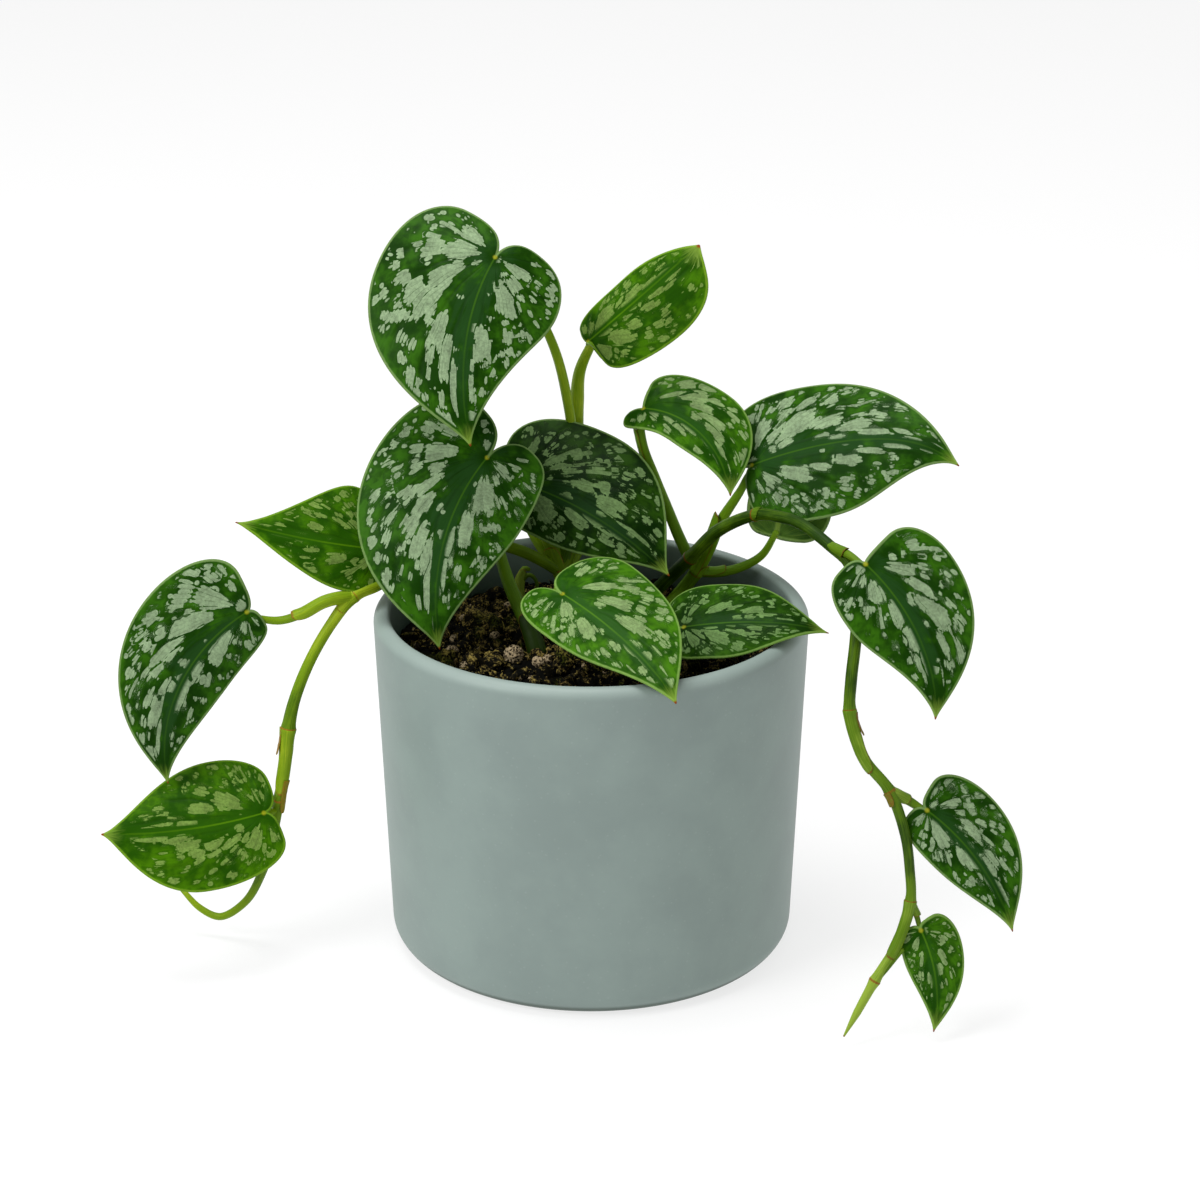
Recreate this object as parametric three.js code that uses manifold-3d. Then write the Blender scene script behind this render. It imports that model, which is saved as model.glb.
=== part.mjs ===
// Satin pothos in a cylindrical ceramic pot. Millimetres, +Z up, origin at the centre of the pot's underside.
// One vine arches over the right rim, one hangs over the left rim, and upright leaves stand between them.
import * as THREE from "three";
import { mergeVertices } from "three/addons/utils/BufferGeometryUtils.js";
import Module from "manifold-3d";

const wasm = await Module();
wasm.setup();

// ---------------------------------------------------------------- driving dimensions
const POT = {
  rimRadius: 62.5,
  baseRadius: 59,
  height: 102,
  wall: 4.8,
  floor: 9,
  heel: 4, // bevel between the inner wall and the floor
  footRound: 7, // radius of the bottom edge
  lipOuterRound: 3,
  lipInnerRound: 1.6,
  sides: 40,
};
const SOIL = {
  level: 88, // height of the surface at the wall
  mound: 3, // how much higher the middle stands
  lump: 1.3, // height of the crumbs
  edge: 5, // bevel round the bottom
  skirt: 3, // how far below the surface the wall of the soil ends
  rings: 8,
  sides: 32,
  pebbles: 16, // perlite and bark that stand out of the surface
  pebbleRadius: 2.1,
};
const BLADE = {
  thickness: 0.8,
  rows: 11, // side veins of one half, from the notch to the tip
  columns: 3, // steps along a side vein, from midrib to margin
  firstVein: 0.08, // the part of the margin, from the notch on, that is the first side vein itself
  veinSag: 0.1, // how far a side vein bows towards the notch, as a part of its length
  fullSag: 0.35, // the part of the rows, from the notch on, over which the bow grows
  curl: 12, // degrees by which the drop of a half grows towards the margin
  wave: 0.6, // height of the ripples at the margin
};
const STEM = {
  sides: 7,
  step: 6, // distance between rings of vertices
  planted: 22, // how deep a stem stands in the soil
  upright: 7, // how far below its first point it is straight
  jointWidth: 1.4, // length of the swelling on each side of a node
  jointHeight: 0.45, // how far the swelling stands out
};
const GAP = 0.3; // clearance between pieces that touch

// ---------------------------------------------------------------- leaves
// `at` is the notch where the petiole joins and `tip` the point. `face` is the way the upper side looks.
// Pairs give the half on the right hand, looking to the tip, and then the left one: `half` is the width from
// the midrib, `lobe` how far the base reaches back past the notch, `fold` how many degrees the half drops.
// The rest is in degrees: `arch` bends the midrib up between its ends and `bend` bows it to the right hand,
// `hook` turns the point down and `swerve` turns it to the right. `belly`, `shoulder` and `taper` shape the
// margin: where the half is widest, how long it stays wide, and how blunt the tip is.
const leaves = {
  leaf_crown_top: {
    at: [-27, 20, 200], tip: [-33.5, -8, 153], face: [0.05, -0.86, 0.5],
    half: [30.5, 23.2], lobe: [9, 9.8], belly: [0.25, 0.13], shoulder: [0.5, 0.4], fold: [6, 8],
    arch: 16, bend: 21,
  },
  leaf_crown_young: {
    at: [-1, 34, 171], tip: [30.5, 22, 203], face: [-0.2, -0.8, 0.5],
    half: [15.5, 9], lobe: [-1.5, 1.5], belly: [0.58, 0.36], shoulder: [0.8, 0.55], taper: 0.5, fold: [6, 12],
    arch: 10, bend: 5, color: 0x6c9a45,
  },
  leaf_crown_left: {
    at: [-29.5, 5, 145.5], tip: [-42.5, -22, 97.5], face: [0, -0.86, 0.5],
    half: [29, 19.5], lobe: [10.5, 12], belly: [0.24, 0.16], shoulder: [0.55, 0.56], fold: [6, 8],
    arch: 14, bend: 24,
  },
  leaf_crown_shaded: {
    at: [-21, 22, 132], tip: [22.5, 2, 110.5], face: [0.1, -0.85, 0.5],
    half: [13, 25.5], lobe: [8, 9], belly: [0.26, 0.3], shoulder: [0.5, 0.6], fold: [10, 6],
    arch: 14, bend: -11,
  },
  leaf_front: {
    at: [-7.9, -30, 117.7], tip: [23, -66, 100], face: [-0.11, -0.35, 0.94],
    half: [12.9, 22.9], lobe: [9.6, 7.9], belly: [0.18, 0.07], shoulder: [0.36, 0.6], taper: 0.2,
    fold: [12, 4.5], arch: 8, bend: -4.7, hook: 8, swerve: 6.4,
  },
  leaf_rim_right: {
    at: [26, -22, 104.5], tip: [66.5, -26, 104.3], face: [0, -0.5, 0.87],
    half: [11.5, 17.5], lobe: [5, 6], shoulder: [0.35, 0.5], taper: 0.05, fold: [2, 6], arch: 14, hook: 14,
  },
  leaf_folded: {
    at: [15, 30, 152], tip: [40, 12, 131.3], face: [0.3, -0.8, 0.5],
    half: [7, 16.8], lobe: [6.5, 0.5], belly: [0.3, 0.42], fold: [5, 4], arch: 30, bend: -30,
  },
  leaf_wide_right: {
    at: [46.2, 21, 137.8], tip: [104, 0, 144.5], face: [0, -0.75, 0.65],
    half: [21, 23.5], lobe: [3, 7], belly: [0.3, 0.17], fold: [8, 8], arch: 10, bend: -8, hook: 12,
    swerve: 40,
  },
  leaf_vine_right_1: {
    at: [74.2, -46, 132.5], tip: [93, -62, 93.5], face: [0.1, -0.92, 0.35],
    half: [15, 20.5], lobe: [4, 1], shoulder: [0.4, 0.55], fold: [8, 8], arch: 12, bend: -20, swerve: 8,
  },
  leaf_vine_right_2: {
    at: [92, -60, 65.7], tip: [115.5, -72, 34.6], face: [0.1, -0.93, 0.3],
    half: [10.3, 14.8], lobe: [3.5, 2.8], fold: [8, 8], arch: 8, bend: -18,
  },
  leaf_vine_right_3: {
    at: [91, -66, 32], tip: [95, -72, 3.5], face: [0, -0.95, 0.3],
    half: [7.4, 9.4], lobe: [2, 2], belly: [0.24, 0.2], shoulder: [0.4, 0.5], fold: [8, 8],
    arch: 6, bend: -18,
  },
  leaf_vine_left_1: {
    at: [-61, 6, 117.4], tip: [-100.7, -4, 129.3], face: [0.1, -0.7, 0.7],
    half: [21, 13], lobe: [5, 4], belly: [0.12, 0.16], shoulder: [0.34, 0.42], taper: 0.05, fold: [6, 6],
    arch: 8, bend: -10, color: 0x6c9a45,
  },
  leaf_vine_left_2: {
    at: [-97.5, -12, 105], tip: [-121, -22, 56], face: [0.1, -0.93, 0.3],
    half: [21.6, 12.2], lobe: [3, 3], belly: [0.23, 0.32], fold: [6, 8], arch: 12, bend: 35,
  },
  leaf_vine_left_3: {
    at: [-94, -22, 47], tip: [-139.5, -32, 45], face: [0, -0.8, 0.6],
    half: [19.5, 18], lobe: [5, 3.2], belly: [0.28, 0.42], fold: [6, 6], arch: 8, bend: -11,
    color: 0x6c9a45,
  },
  leaf_back_right: {
    at: [54, 25, 114], tip: [61, 42, 147], face: [0.1, 0.9, 0.1],
    half: [10, 15], lobe: [0, 0.5], fold: [8, 8], arch: 12,
  },
  leaf_back_left: {
    at: [-26, 46, 128], tip: [-44, 72, 98], face: [-0.3, 0.75, 0.6],
    half: [16, 18], lobe: [9, 9], fold: [8, 8], arch: 14,
  },
  leaf_back_middle: {
    at: [4, 54, 122], tip: [10, 86, 100], face: [0.1, 0.6, 0.8],
    half: [16, 15], lobe: [8, 9], fold: [8, 8], arch: 14,
  },
};

// ---------------------------------------------------------------- stems
// Each node lists its stalks. A stalk is a smooth line through `points` with a radius at each of them.
// `joints` gives the numbers of the points that carry a swollen node. A planted stalk goes on straight down
// into the soil. `to` names the blade that the stalk ends under.
const stems = {
  vine_right: [
    {
      points: [
        [16, 34, 90], [21, 30.5, 97], [29, 22, 108.7], [36.5, 13, 120.3], [46.7, 0, 130], [52, -8, 132.5],
        [58, -18, 134], [66, -30, 131.5], [71, -38, 128.5], [72.5, -44, 120], [72, -48, 111],
        [70.8, -52, 101], [70.5, -54, 93], [72.3, -56, 85.5], [76, -58, 77.5], [84, -60, 68.5],
        [86.8, -62, 57.5], [87.8, -63, 49], [88, -64, 40], [84.5, -67, 28.6], [78.3, -70, 18.4],
        [73.5, -72, 9.5], [70, -73.5, 3],
      ],
      radii: [
        1.9, 1.9, 1.8, 1.7, 1.6, 1.6, 1.6, 1.6, 1.7, 1.5, 1.5,
        1.5, 1.5, 1.5, 1.5, 1.6, 1.5, 1.5, 1.5, 1.3, 1.5,
        1.1, 0.4,
      ],
      joints: [2, 4, 8, 12, 15, 18, 20],
      planted: true,
    },
    { points: [[66, -30, 131.5], [70.5, -38, 132]], radii: [1.3, 1.1], to: "leaf_vine_right_1" },
    { points: [[84, -60, 68.5], [88.5, -59, 67]], radii: [1.4, 1.1], to: "leaf_vine_right_2" },
    { points: [[88, -64, 40], [90, -65, 35]], radii: [1.1, 0.8], to: "leaf_vine_right_3" },
    { points: [[78.3, -70, 18.4], [81.5, -69, 22], [86, -67.5, 27]], radii: [1.1, 1, 0.7] },
  ],
  stem_right: [
    {
      points: [
        [22.5, 28.5, 90], [27, 30, 95.5], [31, 28, 102], [34.5, 26, 110], [38, 23, 120],
        [43, 20, 130.5], [45, 19, 136],
      ],
      radii: [2, 2, 2, 1.9, 1.6, 1.2, 1],
      joints: [2],
      planted: true,
      to: "leaf_wide_right",
    },
    {
      points: [
        [31, 28, 102], [26.2, 31, 111], [22.5, 32, 120], [18.6, 32, 130], [15, 32.5, 140], [14.4, 32, 148],
      ],
      radii: [1.7, 1.7, 1.6, 1.5, 1.4, 1.2],
      to: "leaf_folded",
    },
    {
      points: [[31, 28, 102], [36.5, 28, 103.6], [42.3, 28, 105.7], [47.8, 27, 109.6]],
      radii: [1.6, 1.5, 1.4, 1.2],
      to: "leaf_back_right",
    },
    {
      points: [[22.5, 28.5, 90], [20, 14, 93], [19.5, -2, 98], [20.5, -12, 101.5]],
      radii: [1.5, 1.4, 1.3, 1.1],
      to: "leaf_rim_right",
    },
  ],
  vine_left: [
    {
      points: [[-4, 16, 90], [-6, 24, 95], [-8.5, 27, 100], [-9, 28, 102]],
      radii: [2.1, 2.1, 2.2, 2.3],
      joints: [3],
      planted: true,
    },
    {
      points: [
        [-9, 28, 102], [-15, 26, 106.5], [-22.5, 22, 111.5], [-35, 18, 115.5], [-46.8, 13, 116],
        [-56.3, 6, 111.5], [-61, 1, 108.5], [-68, -3, 106.4], [-74.5, -7, 99], [-80.5, -10, 89],
        [-85, -12, 78], [-87, -13, 69.5], [-88.3, -14, 58.5], [-90.3, -15, 48], [-93, -14, 34.5],
        [-96.5, -12, 23], [-102, -10, 12.5], [-110, -8, 6.5], [-116, -6, 8.3], [-120.5, -4, 12.3],
        [-124, 0, 14.6],
      ],
      radii: [
        1.9, 1.8, 1.7, 1.7, 1.8, 1.8, 1.8, 1.9, 1.6, 1.6,
        1.7, 2, 1.6, 1.6, 1.4, 1.3, 1.2, 1.1, 1, 0.8, 0.5,
      ],
      joints: [4, 7, 11, 13],
    },
    {
      points: [
        [-9, 28, 102], [-4, 36, 121.5], [-5, 37, 137], [-7, 36, 152.5], [-10, 33, 167], [-14.5, 30, 179],
        [-21, 26, 191.5],
      ],
      radii: [1.8, 1.5, 1.4, 1.4, 1.3, 1.2, 1.1],
      to: "leaf_crown_top",
    },
    {
      points: [[-9, 28, 102], [-2.8, 38, 121], [-4.3, 40, 139], [-4.2, 40, 151.5], [-3.3, 38, 161]],
      radii: [1.8, 1.6, 1.5, 1.4, 1.2],
      to: "leaf_crown_young",
    },
    {
      points: [[-9, 28, 102], [-13, 31, 112], [-19, 33, 125]],
      radii: [2.2, 2.4, 1.4],
      to: "leaf_crown_shaded",
    },
    {
      points: [[-6, 24, 95], [-8, 10, 104], [-9, -10, 112], [-9, -22, 114.5]],
      radii: [1.8, 1.6, 1.4, 1.3],
      to: "leaf_front",
    },
    { points: [[-46.8, 13, 116], [-54, 8.5, 118]], radii: [1.6, 1.3], to: "leaf_vine_left_1" },
    {
      points: [[-68, -3, 106.4], [-75.5, -9, 106.5], [-82.5, -12, 103], [-89, -12, 101]],
      radii: [1.8, 1.5, 1.3, 1.2],
      to: "leaf_vine_left_2",
    },
    { points: [[-90.3, -15, 48], [-91, -15, 45]], radii: [1.3, 1], to: "leaf_vine_left_3" },
    {
      points: [[-8.5, 27, 100], [-18, 36, 112], [-23, 42, 122]],
      radii: [1.7, 1.4, 1.2],
      to: "leaf_back_left",
    },
    {
      points: [[-8.5, 27, 100], [-2, 40, 108], [2, 47, 116]],
      radii: [1.7, 1.4, 1.2],
      to: "leaf_back_middle",
    },
  ],
  petiole_front: [
    {
      points: [
        [-15.5, -6.5, 90], [-17.5, -4, 96], [-21, 0, 102.5], [-24, 4, 108.5], [-27, 9, 117.5],
        [-29, 11.5, 129], [-30, 10.5, 138],
      ],
      radii: [2.1, 2.1, 2, 1.9, 1.6, 1.4, 1.2],
      planted: true,
      to: "leaf_crown_left",
    },
  ],
  shoot: [
    {
      points: [
        [-21.8, 28, 91], [-21.6, 28, 94.5], [-21.4, 28, 98], [-20.8, 28, 101], [-19.6, 28, 103],
        [-18.2, 28, 102.6],
      ],
      radii: [1.3, 1.4, 1.4, 1.2, 0.9, 0.5],
      planted: true,
    },
  ],
};

// ---------------------------------------------------------------- helpers
const vec = (p) => new THREE.Vector3(...p);
const { degToRad, lerp } = THREE.MathUtils;

function toSolid(geometry) {
  const bare = geometry.clone();
  bare.deleteAttribute("normal");
  bare.deleteAttribute("uv");
  const merged = mergeVertices(bare, 1e-3);
  return new wasm.Manifold(
    new wasm.Mesh({
      numProp: 3,
      vertProperties: merged.attributes.position.array,
      triVerts: new Uint32Array(merged.index.array),
    }),
  );
}

function toGeometry(solid) {
  const mesh = solid.getMesh();
  const geometry = new THREE.BufferGeometry();
  geometry.setAttribute("position", new THREE.BufferAttribute(mesh.vertProperties, 3));
  geometry.setIndex(new THREE.BufferAttribute(mesh.triVerts, 1));
  geometry.computeVertexNormals();
  return geometry;
}

const join = (solids) => solids.reduce((a, b) => a.add(b));
const largestBody = (solid) => solid.decompose().reduce((a, b) => (a.volume() > b.volume() ? a : b));

function closedGeometry(points, triangles) {
  const geometry = new THREE.BufferGeometry().setFromPoints(points);
  geometry.setIndex(triangles.flat());
  return geometry;
}

// ---------------------------------------------------------------- leaf blades
// The margin of one half of a heart-shaped blade, in the flat: x out from the midrib, y towards the tip.
// It leaves the notch at (0, 0), goes round the basal lobe, passes its widest point and narrows to the tip.
function marginCurve({ length, half, lobe, belly, shoulder, taper }) {
  const widest = belly * length;
  const lobeX = 0.5 * half;
  const shoulderY = lerp(widest, length, shoulder);
  const taperY = lerp(widest, length, 0.78);
  const path = new THREE.Path();
  path.moveTo(0, 0);
  path.bezierCurveTo(0.03 * half, -0.75 * lobe, lobeX - 0.32 * half, -lobe, lobeX, -lobe);
  path.bezierCurveTo(lobeX + 0.3 * half, -lobe, half, widest - 0.6 * (widest + lobe), half, widest);
  path.bezierCurveTo(half, shoulderY, taper * half, taperY, 0, length);
  return path;
}

// The midrib as a bent line whose ends lie on the straight line from notch to tip, in the blade's own
// directions (x across, y along, z up). Its pitch falls from `arch` to `-arch` degrees and its heading turns
// from `bend` to `-bend`. The last stretch turns down by `hook` and sideways by `swerve` as well.
function midribLine(chord, { arch, bend, hook, swerve }) {
  const steps = 60;
  const directionAt = (u) => {
    const end = Math.max(u, 0) ** 4;
    const pitch = degToRad(arch * (1 - 2 * u) - hook * end);
    const heading = degToRad(bend * (1 - 2 * u) + swerve * end);
    const across = new THREE.Vector3(Math.cos(heading), -Math.sin(heading), 0);
    const level = Math.cos(pitch);
    const forward = vec([Math.sin(heading) * level, Math.cos(heading) * level, Math.sin(pitch)]);
    return { across, forward };
  };
  const stations = [new THREE.Vector3()];
  for (let i = 0; i < steps; i++) {
    const { forward } = directionAt((i + 0.5) / steps);
    stations.push(stations[i].clone().addScaledVector(forward, 1 / steps));
  }
  const end = stations[steps];
  const length = chord / end.length();
  const turn = new THREE.Quaternion().setFromUnitVectors(end.clone().normalize(), vec([0, 1, 0]));
  const at = (u) => {
    const { across, forward } = directionAt(u);
    const k = THREE.MathUtils.clamp(u * steps, 0, steps - 1e-6);
    const i = Math.floor(k);
    const point = stations[i].clone().lerp(stations[i + 1], k - i);
    point.addScaledVector(forward, Math.min(u, 0)).multiplyScalar(length);
    const lift = new THREE.Vector3().crossVectors(across, forward);
    return [point, across, lift].map((v) => v.applyQuaternion(turn));
  };
  return { length, at };
}

// The three directions of a blade: along to the tip, up out of its face, and across to its right hand.
function bladeFrame({ at, tip, face }) {
  const along = vec(tip).sub(vec(at)).normalize();
  const up = vec(face);
  up.addScaledVector(along, -up.dot(along)).normalize();
  return { along, up, across: new THREE.Vector3().crossVectors(along, up) };
}

function bladeGeometry(leaf, thickness) {
  const { half, lobe, fold, arch, bend = 0, hook = 0, swerve = 0 } = leaf;
  const { belly = [0.24, 0.24], shoulder = [0.55, 0.55], taper = 0.1 } = leaf;
  const base = vec(leaf.at);
  const frame = bladeFrame(leaf);
  const toSpace = new THREE.Matrix4().makeBasis(frame.across, frame.along, frame.up).setPosition(base);
  const midribOf = midribLine(base.distanceTo(vec(leaf.tip)), { arch, bend, hook, swerve });
  const length = midribOf.length;

  // From a place on the flat blade to space: k is 0 and side 1 on the right hand, 1 and -1 on the left.
  const place = (x, y, side, k) => {
    const u = y / length;
    const [point, across, lift] = midribOf.at(u);
    const out = x / half[k];
    const drop = degToRad(fold[k] + 0.5 * BLADE.curl * out);
    const ripple = BLADE.wave * out * out * Math.sin(9 * u + 2 * k);
    return point
      .addScaledVector(across, side * x * Math.cos(drop))
      .addScaledVector(lift, ripple - x * Math.sin(drop))
      .applyMatrix4(toSpace);
  };

  // A side vein runs from the midrib to the margin. The first one lies along the margin of the lobe.
  const { rows, columns, firstVein, veinSag, fullSag } = BLADE;
  const points = [];
  const midrib = [];
  const addPoint = (...flat) => points.push(place(...flat)) - 1;
  for (let i = 0; i <= rows; i++) {
    midrib.push(addPoint(0, length * (i / rows) ** 2, 1, 0));
  }
  const grid = [1, -1].map((side, k) => {
    const shape = { half: half[k], lobe: lobe[k], belly: belly[k], shoulder: shoulder[k] };
    const margin = marginCurve({ length, taper, ...shape });
    return midrib.map((start, i) => {
      if (i === rows) return Array(columns + 1).fill(start);
      const s = i / rows;
      const root = length * s ** 2;
      const edge = margin.getPoint(lerp(firstVein, 1, s));
      const bow = veinSag * Math.min(1, s / fullSag) * Math.hypot(edge.x, edge.y - root);
      const line = [start];
      for (let j = 1; j <= columns; j++) {
        const w = j / columns;
        const lobeEdge = margin.getPoint(firstVein * w);
        const x = i === 0 ? lobeEdge.x : edge.x * w;
        const y = i === 0 ? lobeEdge.y : lerp(root, edge.y, w) - bow * Math.sin(Math.PI * w);
        line.push(addPoint(x, y, side, k));
      }
      return line;
    });
  });

  const sheet = [];
  const addTriangle = (k, a, b, c) => {
    if (a === b || b === c || c === a) return;
    sheet.push(k === 0 ? [a, b, c] : [a, c, b]);
  };
  grid.forEach((lines, k) => {
    for (let i = 0; i < rows; i++) {
      for (let j = 0; j < columns; j++) {
        addTriangle(k, lines[i][j], lines[i][j + 1], lines[i + 1][j]);
        addTriangle(k, lines[i][j + 1], lines[i + 1][j + 1], lines[i + 1][j]);
      }
    }
  });
  const edges = grid.map((lines) => [...lines[0], ...lines.slice(1).map((line) => line[columns])]);
  const outline = [...edges[0], ...edges[1].slice(1, -1).reverse()];
  return thicken(points, sheet, outline, thickness);
}

// A closed solid from an open sheet: half the thickness on each side, split into triangles alike on both.
function thicken(points, sheet, outline, thickness) {
  const middle = closedGeometry(points, sheet);
  middle.computeVertexNormals();
  const normal = new THREE.Vector3();
  const shift = (p, i, distance) =>
    p.clone().addScaledVector(normal.fromBufferAttribute(middle.attributes.normal, i), distance);
  const shifted = (distance) => points.map((p, i) => shift(p, i, distance));
  const count = points.length;
  const triangles = [...sheet, ...sheet.map(([a, b, c]) => [a + count, c + count, b + count])];
  outline.forEach((a, i) => {
    const b = outline[(i + 1) % outline.length];
    triangles.push([a, a + count, b], [b, a + count, b + count]);
  });
  return closedGeometry([...shifted(thickness / 2), ...shifted(-thickness / 2)], triangles);
}

// A blade grown by the clearance on every side, which is cut out of the stems.
function bladeClearance(leaf) {
  const { along } = bladeFrame(leaf);
  const grown = {
    ...leaf,
    at: vec(leaf.at).addScaledVector(along, -2 * GAP).toArray(),
    half: leaf.half.map((width) => width + GAP),
    lobe: leaf.lobe.map((depth) => depth + GAP),
  };
  return toSolid(bladeGeometry(grown, BLADE.thickness + 2 * GAP));
}

// ---------------------------------------------------------------- stalks
// A round rod along a smooth line, with a ring of vertices at every step and three at each swollen joint.
function stalkSolid({ points, radii, joints = [], planted, to }, grow = 0) {
  const line = points.map(vec);
  const widths = [...radii];
  if (planted) {
    const [x, y, z] = points[0];
    line.unshift(vec([x, y, z - STEM.planted - grow]), vec([x, y, z - STEM.upright]));
    widths.unshift(radii[0], radii[0]);
  }
  if (to) {
    const { along, up } = bladeFrame(leaves[to]);
    const radius = radii.at(-1);
    line.push(vec(leaves[to].at).addScaledVector(along, 1.5).addScaledVector(up, -0.5 * radius));
    widths.push(radius);
  }
  const curve = new THREE.CatmullRomCurve3(line, false, "centripetal");
  const last = line.length - 1;
  const total = curve.getLength();
  const lengths = curve.getLengths(200 * last);
  const distanceAt = (index) => lengths[Math.round((index / last) * (lengths.length - 1))];
  const swollen = joints.map((index) => distanceAt(index + (planted ? 2 : 0)));
  const steps = Math.max(2, Math.round(total / STEM.step));
  const stops = Array.from({ length: steps + 1 }, (_, i) => total * (i / steps))
    .filter((s) => swollen.every((d) => Math.abs(s - d) > 1.6 * STEM.jointWidth))
    .concat(swollen.flatMap((d) => [d - STEM.jointWidth, d, d + STEM.jointWidth]))
    .filter((s) => s >= 0 && s <= total)
    .sort((a, b) => a - b);
  const rings = [];
  let side = new THREE.Vector3(0, 1, 0);
  for (const s of stops) {
    const u = s / total;
    const k = Math.min(curve.getUtoTmapping(u) * last, last - 1e-6);
    const i = Math.floor(k);
    const swell = swollen.includes(s) ? STEM.jointHeight : 0;
    const radius = lerp(widths[i], widths[i + 1], k - i) + swell + grow;
    const tangent = curve.getTangentAt(u);
    side = side.addScaledVector(tangent, -side.dot(tangent)).normalize();
    const other = new THREE.Vector3().crossVectors(tangent, side);
    const centre = curve.getPointAt(u);
    rings.push(
      Array.from({ length: STEM.sides }, (_, j) => {
        const angle = (2 * Math.PI * j) / STEM.sides;
        return centre
          .clone()
          .addScaledVector(side, radius * Math.cos(angle))
          .addScaledVector(other, radius * Math.sin(angle));
      }),
    );
    side = side.clone();
  }
  return toSolid(loftGeometry(rings));
}

// A closed solid through rings of equally many points, with flat ends.
function loftGeometry(rings) {
  const sides = rings[0].length;
  const triangles = [];
  for (let i = 0; i + 1 < rings.length; i++) {
    for (let j = 0; j < sides; j++) {
      const a = i * sides + j;
      const b = i * sides + ((j + 1) % sides);
      triangles.push([a, b, a + sides], [b, b + sides, a + sides]);
    }
  }
  const end = (rings.length - 1) * sides;
  for (let j = 1; j + 1 < sides; j++) {
    triangles.push([0, j + 1, j], [end, end + j, end + j + 1]);
  }
  return closedGeometry(rings.flat(), triangles);
}

// ---------------------------------------------------------------- pot and soil
function potGeometry() {
  const { rimRadius, baseRadius, height, wall, floor, heel, footRound } = POT;
  const { lipOuterRound, lipInnerRound, sides } = POT;
  const arc = (x, y, radius, from, to, steps) =>
    new THREE.Path().absarc(x, y, radius, degToRad(from), degToRad(to), to < from).getPoints(steps);
  const innerRim = rimRadius - wall;
  const innerBase = baseRadius - wall;
  const profile = [
    new THREE.Vector2(0, 0),
    ...arc(baseRadius - footRound, footRound, footRound, -90, -2, 3),
    ...arc(rimRadius - lipOuterRound, height - lipOuterRound, lipOuterRound, -2, 90, 3),
    ...arc(innerRim + lipInnerRound, height - lipInnerRound, lipInnerRound, 90, 180, 2),
    new THREE.Vector2(innerBase, floor + heel),
    new THREE.Vector2(innerBase - heel, floor),
    new THREE.Vector2(0, floor),
  ];
  return new THREE.LatheGeometry(profile, sides).rotateX(Math.PI / 2);
}

// The soil's radius at a height: just clear of the inner wall.
function soilRadius(z) {
  const { rimRadius, baseRadius, height, wall, floor, lipInnerRound, heel } = POT;
  const top = height - lipInnerRound;
  const bottom = floor + heel;
  return lerp(baseRadius, rimRadius, (z - bottom) / (top - bottom)) - wall - 2 * GAP;
}

const scatter = (n) => (Math.sin(n * 12.9898) * 43758.5453) % 1; // a fixed draw from -1 to 1

function soilHeight(r, n) {
  const { level, mound, lump } = SOIL;
  const out = r / soilRadius(level);
  return level + mound * (1 - out * out) + lump * scatter(n + 1);
}

function soilSolid() {
  const { level, edge, skirt, rings, sides, pebbles, pebbleRadius } = SOIL;
  const bottom = POT.floor + GAP;
  const centre = 0.5; // radius of the small ring that closes the top and the bottom
  const ring = (r, heightAt) =>
    Array.from({ length: sides }, (_, j) => {
      const angle = (2 * Math.PI * j) / sides;
      return new THREE.Vector3(r * Math.cos(angle), r * Math.sin(angle), heightAt(j));
    });
  const sections = [
    ring(centre, () => bottom),
    ring(soilRadius(bottom) - edge, () => bottom),
    ring(soilRadius(bottom + edge), () => bottom + edge),
    ring(soilRadius(level - skirt), () => level - skirt),
  ];
  for (let i = rings; i > 0; i--) {
    const r = (soilRadius(level) * i) / rings;
    sections.push(ring(r, (j) => soilHeight(r, i * sides + j)));
  }
  sections.push(ring(centre, () => soilHeight(0, 0)));
  const stones = Array.from({ length: pebbles }, (_, n) => {
    const r = 50 * Math.sqrt((n + 0.6) / pebbles);
    const angle = n * 2.4; // successive stones a golden angle apart
    const size = pebbleRadius * (1 + 0.35 * scatter(n + 77));
    const stone = new THREE.IcosahedronGeometry(size, 0);
    stone.rotateX(n).rotateY(2 * n).scale(1.15, 0.95, 0.8);
    return toSolid(stone.translate(r * Math.cos(angle), r * Math.sin(angle), soilHeight(r, -1) + 0.5));
  });
  return join([toSolid(loftGeometry(sections)), ...stones]);
}

// ---------------------------------------------------------------- assembly
const finishes = {
  pot: { color: 0x87979a, roughness: 0.55 },
  soil: { color: 0x2e2620, roughness: 0.95 },
  stem: { color: 0x5f8f3a, roughness: 0.5 },
  leaf: { color: 0x44704c, roughness: 0.5 },
};

const plant = new THREE.Group();

function addPiece(name, geometry, finish) {
  const material = new THREE.MeshStandardMaterial({ metalness: 0, ...finish });
  const mesh = new THREE.Mesh(geometry, material);
  mesh.name = name;
  plant.add(mesh);
}

addPiece("pot", potGeometry(), finishes.pot);

const bladeClearances = Object.values(leaves).map(bladeClearance);
let soil = soilSolid();
for (const [name, stalks] of Object.entries(stems)) {
  const whole = join(stalks.map((stalk) => stalkSolid(stalk)));
  const cut = bladeClearances.reduce((solid, blade) => solid.subtract(blade), whole);
  addPiece(name, toGeometry(largestBody(cut)), finishes.stem);
  for (const stalk of stalks) {
    soil = soil.subtract(stalkSolid(stalk, GAP));
  }
}
addPiece("soil", toGeometry(largestBody(soil)), finishes.soil);

for (const [name, leaf] of Object.entries(leaves)) {
  const color = leaf.color ?? finishes.leaf.color;
  addPiece(name, bladeGeometry(leaf, BLADE.thickness), { ...finishes.leaf, color });
}

export default plant;
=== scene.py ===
from math import cos, pi, radians, sin

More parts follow.
